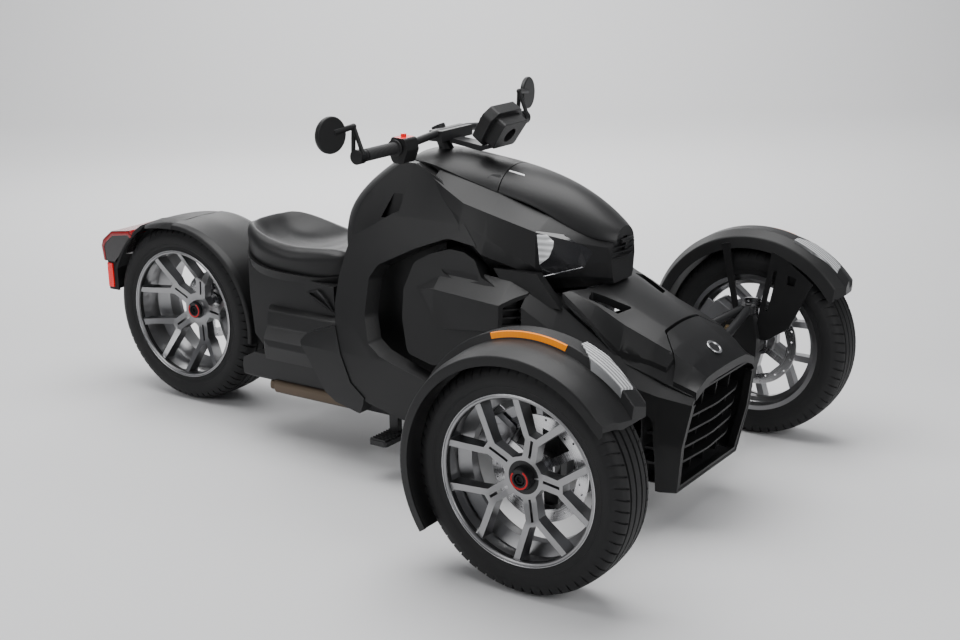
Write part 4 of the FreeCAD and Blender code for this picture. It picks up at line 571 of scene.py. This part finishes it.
def crest_spokes(rim, centre, way):
    """Cuts a flat bevel along the front edges of the spokes."""
    rim.data.attributes.new("bevel_weight_edge", "FLOAT", "EDGE")
    mesh = bmesh.new()
    mesh.from_mesh(rim.data)
    layer = mesh.edges.layers.float["bevel_weight_edge"]
    for edge in mesh.edges:
        if len(edge.link_faces) != 2 or edge.calc_face_angle(0) < math.radians(40):
            continue
        offsets = [v.co - Vector(centre) for v in edge.verts]
        radii = [math.hypot(o.y, o.z) for o in offsets]
        forward = max(way * f.normal.x for f in edge.link_faces)
        if min(radii) > SPOKE_START and max(radii) < SPOKE_END and forward > 0.55:
            edge[layer] = 1.0
    mesh.to_mesh(rim.data)
    mesh.free()
    crest = rim.modifiers.new("crest", "BEVEL")
    crest.limit_method = "WEIGHT"
    crest.width = 0.0060
    crest.segments = 1
    deselect()
    rim.select_set(True)
    bpy.context.view_layer.objects.active = rim
    bpy.ops.object.modifier_apply(modifier="crest")


FRONT_AXLE, REAR_AXLE = (-0.886, 0.290), (0.823, 0.295)
HUB_RADIUS, SPOKE_START, SPOKE_END, FLARE_FADE = 0.05, 0.066, 0.2065, 0.012
FLARE = ((0.0, 0.0), (0.112, 0.113), (0.160, 0.1655), (0.187, 0.1985), (0.195, 0.2075), (0.198, 0.2095),
         (0.203, 0.2115), (0.219, 0.219), (0.3, 0.3))
FLANGE_RADIUS, LIP_RADIUS, FLANGE_BACK, ROUND_STEPS = 0.2070, 0.2120, 0.0045, 96
SOCKET = [(-0.006, 0.0135), (-0.001, 0.0135), (0.0008, 0.0118), (0.0008, 0.0092), (-0.005, 0.0086)]
rim_grey = grained("rim_grey", (0.29, 0.29, 0.295), 0.30, 1.0, grain=1500, depth=0.05, uneven=0.08)
nut_black = grained("nut_black", (0.012, 0.012, 0.013), 0.34, grain=800, depth=0.15)
ring_red = grained("ring_red", (0.62, 0.012, 0.016), 0.36, grain=800, depth=0.1)
lip_front = lathed("lip_front", (0.50, 0.50, 0.51), 0.26, (0, *FRONT_AXLE))
lip_rear = lathed("lip_rear", (0.50, 0.50, 0.51), 0.26, (0, *REAR_AXLE))
for node, lip, way, edge in (("rim_front_left", lip_front, 1, 0.7125),
                             ("rim_front_right", lip_front, -1, 0.7125),
                             ("rim_rear", lip_rear, -1, 0.0925)):
    rim = welded_copy(node, node + "_shown")
    middle = (0, *REAR_AXLE) if node == "rim_rear" else (way * 0.65, *FRONT_AXLE)
    web_back = -0.011 if node == "rim_rear" else -0.001
    flare_windows(rim, middle, way, web_back)
    crest_spokes(rim, middle, way)
    even_shading(rim, 32)
    rim.data.materials.append(rim_grey)
    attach(rim, body_of(node))
    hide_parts(node)
    face_finish(rim, lip, lambda c, n: off_axle(c) > 0.2125 and way * c.x > edge)
    face_finish(rim, nut_black, lambda c, n: off_axle(c) < 0.031 and way * c.x > edge - 0.062)
for wheel, nut_x, lip_out, axle, lip in (("front_right", -0.7005, 0.0150, FRONT_AXLE, lip_front),
                                         ("front_left", 0.7005, 0.0150, FRONT_AXLE, lip_front),
                                         ("rear", -0.0405, 0.0570, REAR_AXLE, lip_rear)):
    way = 1 if nut_x > 0 else -1
    body = "wheel_" + wheel
    mark_at = (nut_x + way * 0.0022, *axle)
    lip_at = (nut_x + way * lip_out, *axle)
    flange_at = (lip_at[0] - way * FLANGE_BACK, *axle)
    last = 360 - 360 / ROUND_STEPS
    tube(f"nut_{wheel}_ring", ring_points(mark_at, 0.0222, 118, 400, 40), 0.0044, ring_red, body)
    tube("flange_" + wheel, ring_points(flange_at, FLANGE_RADIUS, 0, last, ROUND_STEPS), 0.0108, rim_grey,
         body, closed=True)
    tube("lip_" + wheel, ring_points(lip_at, LIP_RADIUS, 0, last, ROUND_STEPS), 0.0030, lip, body,
         closed=True)
    turned(f"nut_{wheel}_socket", (nut_x, *axle), 0, [(way * along, radius) for along, radius in SOCKET],
           deep_black, body, 6)


# Brake discs: ground steel with drilled rows. The calipers are cast, left bare, and bolted to the black
# knuckles, which also carry the fenders' stays.

ground_front = lathed("ground_front", (0.60, 0.60, 0.61), 0.24, (0, *FRONT_AXLE))
ground_rear = lathed("ground_rear", (0.60, 0.60, 0.61), 0.24, (0, *REAR_AXLE))
zinc_bronze = grained("zinc_bronze", (0.52, 0.40, 0.24), 0.32, 1.0, grain=700, depth=0.1)
for node, ground in (("disc_front_left", ground_front), ("disc_front_right", ground_front),
                     ("disc_rear", ground_rear)):
    panel(node, ground, 0.0005, 40)
for node in ("knuckle_left", "knuckle_right"):
    panel(node, cast_black, 0.0020, 34, 3)
for node in ("caliper_left", "caliper_right", "rear_caliper"):
    panel(node, cast_grey, 0.0018, 34, 3)
BOLT = [(-0.004, 0.0085), (0.002, 0.0085), (0.003, 0.0062), (0.0095, 0.0062), (0.0105, 0.0054)]
for number, (y, z) in enumerate(((-0.826, 0.340), (-0.815, 0.362))):
    bolt = turned(f"caliper_bolt_right_{number}", (-0.546, y, z), 0, BOLT, zinc_bronze,
                  "knuckle_right_assembly", 6)
    mirrored(bolt, f"caliper_bolt_left_{number}", "knuckle_left_assembly")


# Front and rear springs: black wire wound on dampers with a polished rod, seated in turned collars.

def coil_over(name, node, low, high, wire, coil, turns):
    """A damper from low to high with collars, a rod and a helical spring about it."""
    low, high = Vector(low), Vector(high)
    along = high - low
    length = along.length
    lean = Vector((0, 0, 1)).rotation_difference(along)
    for sign, side in ((1, "left"), (-1, "right")) if node == "front_shocks" else ((1, "left"),):
        steps = [(0.0, 0.015), (0.030, 0.015), (0.030, 0.019), (0.052, 0.019), (0.052, 0.031),
                 (0.058, 0.031), (0.060, 0.024), (0.066, 0.019), (length * 0.62, 0.019),
                 (length * 0.64, 0.012), (length * 0.84, 0.012), (length * 0.84, 0.029),
                 (length * 0.875, 0.029), (length * 0.89, 0.012), (length, 0.012)]
        body = turned(f"{name}_damper_{side}", (0, 0, 0), 2, steps, frame_black, "chassis", 20)
        face_finish(body, bright_steel, lambda c, n: length * 0.65 < c.z < length * 0.83)
        body.data.transform(Matrix.Translation(low) @ lean.to_matrix().to_4x4())
        winds = []
        for i in range(turns * 20 + 1):
            t = i / (turns * 20)
            turn = 2 * math.pi * turns * t
            rise = length * (0.225 + 0.60 * t)
            winds.append(low + lean @ Vector((coil * math.cos(turn), coil * math.sin(turn), rise)))
        spring = tube(f"{name}_spring_{side}", winds, wire, frame_black, "chassis")
        parts = [body, spring]
        if sign < 0:
            for piece in parts:
                piece.data.transform(Matrix.Diagonal((-1, 1, 1, 1)))
                piece.data.flip_normals()
        for piece in parts:
            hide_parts(node)


coil_over("front", "front_shocks", (0.309, -0.846, 0.222), (0.150, -0.846, 0.418), 0.0085, 0.0255, 7)
coil_over("rear", "rear_shock", (0.150, 0.605, 0.381), (0.150, 0.473, 0.507), 0.0075, 0.0215, 5)
panel("wishbones", frame_black, 0.0010)
panel("track_rods", cast_grey, 0.0008)
panel("frame", frame_black, 0.0020)
panel("engine", cast_grey, 0.0060, 32, 3)
panel("belly_pan", deep_black, 0.0015)


# Front fenders: black moulded shells on the knuckles. The lamp on each nose is a milky lens with ribs
# along it and painted shade between them, which make its stripes, and the side marker on the crown band is
# amber.

# Painted shade: the milky lens is darkened to 0.30 of its colour between its ribs, which makes its stripes.
lamp_milk = lens("lamp_milk", (0.60, 0.61, 0.62), 0.20, (1, 0, 0), 95, 0.6, 0.30)
amber = lens("amber", (0.90, 0.26, 0.0), 0.45, (0, 1, 0), 120, 0.2, 0.9)
amber_surface = amber.node_tree.nodes["Principled BSDF"]
amber_surface.inputs["Coat Weight"].default_value = 0
amber_surface.inputs["Specular IOR Level"].default_value = 0.2
amber_surface.inputs["Emission Color"].default_value = (1.0, 0.30, 0.0, 1)
amber_surface.inputs["Emission Strength"].default_value = 0.30
for side in ("left", "right"):
    panel("fender_" + side, textured_black, 0.0014, 30)
    lamps = panel("fender_lamps_" + side, lamp_milk, 0.0010, 30)
    face_finish(lamps, amber, lambda c, n: c.y > -0.9925)


# Mid body: satin black side frames and foot panels with broad soft edges, grained engine covers and the
# tank shell between the knees. All are moulded plastic over the frame.

for side in ("left", "right"):
    panel("side_frame_" + side, satin_black, 0.0045, 26, 3)
panel("foot_panels", satin_black, 0.0045, 26, 3)
panel("engine_covers", textured_black, 0.0022, 26, 3)
panel("tank_shell", textured_black, 0.0026, 26, 3)


# Top cowl: a fixed console and the lid of the storage bin in semi-gloss black, over the lamp fairing. The
# lid has a white strip that is a painted highlight, and the console a six-sided finger recess, shown as a
# dark plate of painted shade, in front of which the seam runs across.

def plate(name, corners, rise, finish, body, sink=0.001, ease=0.0004):
    """A thin plate on a surface, from its corners in order, let in by sink and standing out by rise."""
    spots = [Vector(c) for c in corners]
    face_way = Vector()
    for a, b in zip(spots, spots[1:] + spots[:1]):
        face_way += Vector(((a.y - b.y) * (a.z + b.z), (a.z - b.z) * (a.x + b.x), (a.x - b.x) * (a.y + b.y)))
    face_way.normalize()
    deselect()
    bpy.ops.mesh.primitive_circle_add(vertices=len(spots), radius=0.01, fill_type="NGON")
    piece = bpy.context.object
    for vertex, spot in zip(piece.data.vertices, spots):
        vertex.co = spot - face_way * sink
    bpy.ops.object.mode_set(mode="EDIT")
    bpy.ops.mesh.select_all(action="SELECT")
    bpy.ops.mesh.extrude_region_move(TRANSFORM_OT_translate={"value": face_way * (rise + sink)})
    bpy.ops.mesh.select_all(action="SELECT")
    bpy.ops.mesh.normals_make_consistent(inside=False)
    bpy.ops.mesh.bevel(offset=ease, segments=2, affect="EDGES")
    bpy.ops.object.mode_set(mode="OBJECT")
    return settle(piece, name, finish, body)


cowl_black = grained("cowl_black", (0.0125, 0.0125, 0.013), 0.42, grain=1600, depth=0.06, uneven=0.08)
# White for the lid's painted highlight.
painted_highlight_white = grained("painted_highlight_white", (0.85, 0.85, 0.86), 0.30, grain=900, depth=0.1)
panel("cowl_lid", cowl_black, 0.0012, 28, 3)
panel("console", cowl_black, 0.0016, 28, 3)
panel("lamp_fairing", fairing_black, 0.0018, 26, 3)
for row, height in enumerate((0.699, 0.685, 0.670)):
    bend = [(-0.060, -0.7670), (-0.030, -0.7735), (0, -0.7790), (0.030, -0.7735), (0.060, -0.7670)]
    tube(f"fairing_louvre_{row}", [(x, y, height) for x, y in bend], 0.0050, deep_black, "chassis")
# Painted highlight: a thin white plate on the lid where light glints along an edge.
plate("lid_painted_highlight", [(-0.0560, -0.4440, 0.8800), (-0.0545, -0.4914, 0.8714), (-0.0597, -0.4942, 0.8686),
                   (-0.0612, -0.4445, 0.8778)], 0.0010, painted_highlight_white, "lid")
# Painted shade: each finger recess is a thin dark plate on the console instead of a hollow.
for side, way in (("right", -1), ("left", 1)):
    corners = [(0.0842, -0.4060, 0.8700), (0.0800, -0.4300, 0.8700), (0.0890, -0.4360, 0.8590),
               (0.0990, -0.4280, 0.8440), (0.1020, -0.4010, 0.8490), (0.0950, -0.3960, 0.8610)]
    shown = [(way * x, y, z) for x, y, z in corners][::way]
    plate("latch_recess_painted_shade_" + side, shown, 0.0006, deep_black, "chassis")


# Headlamps: smoked housings let into the fairing. Each has a bright, ribbed clear part at its rear end
# and a thin silver trim along its lower edge.

# Painted shade: both headlamp lenses are darkened in stripes between their ribs.
smoked = lens("smoked", (0.016, 0.016, 0.018), 0.16, (0, 0, 1), 40, 0.0, 0.8)
lamp_clear = lens("lamp_clear", (0.93, 0.94, 0.95), 0.18, (0.15, 0, 1), 62, 0.35, 0.55, 0.1)
panel("headlamps", smoked, 0.0012, 26, 3)
clear = plate("headlamp_clear_right", [(-0.1759, -0.6061, 0.7415), (-0.1600, -0.6270, 0.7405),
                                       (-0.1501, -0.6418, 0.7230), (-0.1513, -0.6412, 0.7083),
                                       (-0.1592, -0.6323, 0.6792), (-0.1741, -0.6126, 0.6610)][::-1], 0.0014,
              lamp_clear, "chassis")
mirrored(clear, "headlamp_clear_left", "chassis")
trim = tube("headlamp_trim_right", [(-0.1782, -0.6259, 0.6310), (-0.1476, -0.6385, 0.6324),
                                    (-0.1342, -0.6615, 0.6388), (-0.1204, -0.6841, 0.6447),
                                    (-0.1067, -0.7055, 0.6502)], 0.0032, bright_steel, "chassis")
mirrored(trim, "headlamp_trim_left", "chassis")


# Nose and hood: grained nose shell round a mouth of swept slats with a finned radiator core behind, with
# shade painted between its fins, and satin hood plates with netted vents and two slots, shown as dark plates
# of painted shadow. A plain round badge with no marks sits on the hood.

# Painted shade: the radiator core's colour is darkened between its fins.
core_fins = lens("core_fins", (0.014, 0.014, 0.015), 0.5, (1, 0, 0), 320, 1.0, 0.4)
core_fins.node_tree.nodes["Principled BSDF"].inputs["Coat Weight"].default_value = 0
panel("nose", textured_black, 0.0022, 26, 3)
panel("grille", textured_black, 0.0012, 30)
panel("hood", satin_black, 0.0018, 26, 3)
plate("radiator_core", [(-0.178, -0.925, 0.114), (0.178, -0.925, 0.114), (0.178, -0.925, 0.345),
                        (-0.178, -0.925, 0.345)], 0.004, core_fins, "chassis")
plate("mouth_tray", [(-0.165, -1.020, 0.113), (0.165, -1.020, 0.113), (0.165, -0.920, 0.113),
                     (-0.165, -0.920, 0.113)], 0.003, deep_black, "chassis")
backing = plate("vent_net_right", [(-0.184, -0.750, 0.536), (-0.184, -0.790, 0.512),
                                   (-0.135, -0.866, 0.514), (-0.060, -0.880, 0.524),
                                   (-0.050, -0.800, 0.534)], 0.001, deep_black, "chassis")
mirrored(backing, "vent_net_left", "chassis")
# Painted shadow: each hood slot is a thin dark plate laid on the hood where the gap's shadow falls.
for side, way in (("right", 1), ("left", -1)):
    corners = [(-0.1769, -0.8683, 0.4634), (-0.1448, -0.9918, 0.4714), (-0.1476, -0.9963, 0.4643),
               (-0.1773, -0.8804, 0.4579)]
    shown = [(way * x, y, z) for x, y, z in corners][::-way]
    plate("hood_slot_painted_shadow_" + side, shown, 0.0008, deep_black, "chassis")
BADGE_AT, HOOD_WAY = (0, -1.0432, 0.4558), Vector((0, -0.56, 0.83))
badge = turned("hood_badge", (0, 0, 0), 2, [(-0.003, 0.0230), (0.0012, 0.0230), (0.0020, 0.0220),
                                            (0.0020, 0.0172), (0.0010, 0.0162)], deep_black, "chassis",
               48)
face_finish(badge, bright_steel, lambda c, n: c.z > 0.0003 and math.hypot(c.x, c.y) > 0.0155)
badge_lean = Vector((0, 0, 1)).rotation_difference(HOOD_WAY)
badge.data.transform(Matrix.Translation(BADGE_AT) @ badge_lean.to_matrix().to_4x4())


# Seat: one moulded pad with a raised rim in black vinyl. The pan under it, the side pods with their
# stepped decks and the grab loops are grained plastic.

seat_vinyl = grained("seat_vinyl", (0.0115, 0.0115, 0.012), 0.42, grain=420, depth=0.7, uneven=0.12)


def padded_seat():
    """The seat's solid, remeshed evenly and blown up a little as cloth over its foam."""
    piece = welded_copy("seat", "seat_pad")
    deselect()
    piece.select_set(True)
    bpy.context.view_layer.objects.active = piece
    even = piece.modifiers.new("even", "REMESH")
    even.mode = "VOXEL"
    even.voxel_size = 0.004
    bpy.ops.object.modifier_apply(modifier="even")
    for vertex in piece.data.vertices:
        vertex.co -= vertex.normal * 0.001
    start = [v.co.copy() for v in piece.data.vertices]
    base = piece.vertex_groups.new(name="base")
    base.add([v.index for v in piece.data.vertices if v.normal.z < -0.7], 1.0, "REPLACE")
    cloth = piece.modifiers.new("foam", "CLOTH")
    cloth.settings.quality = 4
    cloth.settings.tension_stiffness = 60
    cloth.settings.compression_stiffness = 60
    cloth.settings.bending_stiffness = 20
    cloth.settings.use_pressure = True
    cloth.settings.uniform_pressure_force = 4
    cloth.settings.vertex_group_mass = "base"
    cloth.settings.effector_weights.gravity = 0
    cloth.collision_settings.use_self_collision = False
    cloth.point_cache.frame_start = 1
    cloth.point_cache.frame_end = 20
    for moment in range(1, 21):
        bpy.context.scene.frame_set(moment)
    bpy.ops.object.modifier_apply(modifier="foam")
    bpy.context.scene.frame_set(1)
    for vertex, first in zip(piece.data.vertices, start):
        moved = vertex.co - first
        if moved.length > 0.002:
            vertex.co = first + moved.normalized() * 0.002
    bpy.ops.object.shade_smooth()
    piece.data.materials.append(seat_vinyl)
    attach(piece, "chassis")
    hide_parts("seat")
    return piece


seat_pad = padded_seat()
panel("seat_base", textured_black, 0.0020, 28, 3)
panel("side_pods", textured_black, 0.0024, 26, 3)
loop = tube("grab_loop_right", [(-0.1490, 0.2242, 0.4640), (-0.1540, 0.1844, 0.4725),
                                (-0.1540, 0.1547, 0.4488), (-0.1500, 0.1293, 0.4184),
                                (-0.1530, 0.1558, 0.4301), (-0.1530, 0.1976, 0.4490)],
            0.0090, deep_black, "chassis", closed=True)
mirrored(loop, "grab_loop_left", "chassis")


# Rear fender, tail and lamps: a broad grained shell over the tyre, a hugger with the plate holder, a
# smoked lamp with a red band round its upper edge, and an upright red reflector on each side, which is
# given a faint painted glow.

# Painted shade: these tail lenses and the reflector are darkened in their colour between their ribs.
tail_smoke = lens("tail_smoke", (0.018, 0.015, 0.0155), 0.20, (0, 1, 0), 120, 0.1, 0.8)
tail_red = lens("tail_red", (0.34, 0.003, 0.006), 0.16, (0, 1, 0), 150, 0.4, 0.75)
reflector_red_and_painted_glow = lens("reflector_red_and_painted_glow", (0.90, 0.004, 0.006), 0.22, (0, 0, 1), 150, 0.5, 0.8)
# Painted glow: the reflector is no lamp, but it is given a faint red emission for the light it throws back.
reflector_glow_surface = reflector_red_and_painted_glow.node_tree.nodes["Principled BSDF"]
reflector_glow_surface.inputs["Emission Color"].default_value = (1.0, 0.004, 0.006, 1)
reflector_glow_surface.inputs["Emission Strength"].default_value = 0.22
panel("rear_fender", textured_black, 0.0016, 28, 3)
panel("tail_carrier", deep_black, 0.0010)
lamp = panel("tail_lamp", tail_smoke, 0.0016, 28, 3)
face_finish(lamp, tail_red, lambda c, n: c.z > 0.43 and (n.z > 0.15 or n.y > 0.6))
band_outside = ((1.026, 0.532), (1.040, 0.5495), (1.121, 0.539), (1.164, 0.507), (1.1735, 0.486),
                (1.167, 0.438))
band_inside = ((1.159, 0.438), (1.1635, 0.485), (1.154, 0.499), (1.118, 0.526), (1.045, 0.536), (1.034, 0.528))
band = plate("tail_band_right", [(-0.1045, y, z) for y, z in band_outside + band_inside], 0.0014, tail_red,
             "chassis")
mirrored(band, "tail_band_left", "chassis")
face_finish(lamp, reflector_red_and_painted_glow, lambda c, n: c.z < 0.4265)


# Swingarm, exhaust and foot pegs: a cast black swingarm on the left, a silencer under a heat stained
# shield, and serrated cast pegs.

heat_shield = grained("heat_shield", (0.105, 0.078, 0.054), 0.48, 0.6, grain=260, depth=0.6, uneven=0.3)
panel("swingarm", cast_black, 0.0030, 30, 3)
panel("muffler", heat_shield, 0.0016)
panel("foot_pegs", cast_black, 0.0008)


# Handlebar: a painted steel bar with rubber grips, moulded switch pods, a display on an arm, and round
# mirrors on forked stays at the bar's ends. The stop switch is red.

# Painted shade: the grips' colour is darkened between their ribs.
grip_rubber = lens("grip_rubber", (0.016, 0.016, 0.017), 0.62, (1, 0, 0), 190, 0.8, 0.8)
grip_rubber.node_tree.nodes["Principled BSDF"].inputs["Coat Weight"].default_value = 0
screen_glass, screen_surface = shader("screen_glass", (0.006, 0.007, 0.009), 0.06)
screen_surface.inputs["Coat Weight"].default_value = 0.5
mirror_glass, _ = shader("mirror_glass", (0.78, 0.80, 0.82), 0.03, 1.0)
panel("handlebar", frame_black, 0.0010)
panel("grips", grip_rubber, 0.0012)
pods = panel("switch_pods", textured_black, 0.0018, 30, 3)
stop_red = grained("stop_red", (0.75, 0.010, 0.012), 0.36, grain=800, depth=0.1)
face_finish(pods, stop_red,
            lambda c, n: c.x < 0 and c.z > 0.9735 and math.hypot(c.x + 0.211, c.y + 0.201) < 0.0088)
display = panel("display", textured_black, 0.0018, 30, 3)
face_finish(display, screen_glass, lambda c, n: n.y > 0.6 and abs(c.x) < 0.03 and c.y > -0.40)
mirrors = panel("mirrors", satin_black, 0.0014, 30, 3)
face_finish(mirrors, mirror_glass, lambda c, n: n.y > 0.9 and abs(c.x) > 0.43)
MIRROR_TOE_IN, MIRROR_REACH, MIRROR_Y, MIRROR_HALF = math.radians(11), 0.0515, -0.164, 0.0085
for vertex in mirrors.data.vertices:
    way = 1 if vertex.co.x > 0 else -1
    pivot = Vector((way * 0.472, -0.157, 1.013))
    if (vertex.co - pivot).length < MIRROR_REACH and abs(vertex.co.y - MIRROR_Y) < MIRROR_HALF:
        vertex.co = pivot + Matrix.Rotation(way * MIRROR_TOE_IN, 3, "Z") @ (vertex.co - pivot)
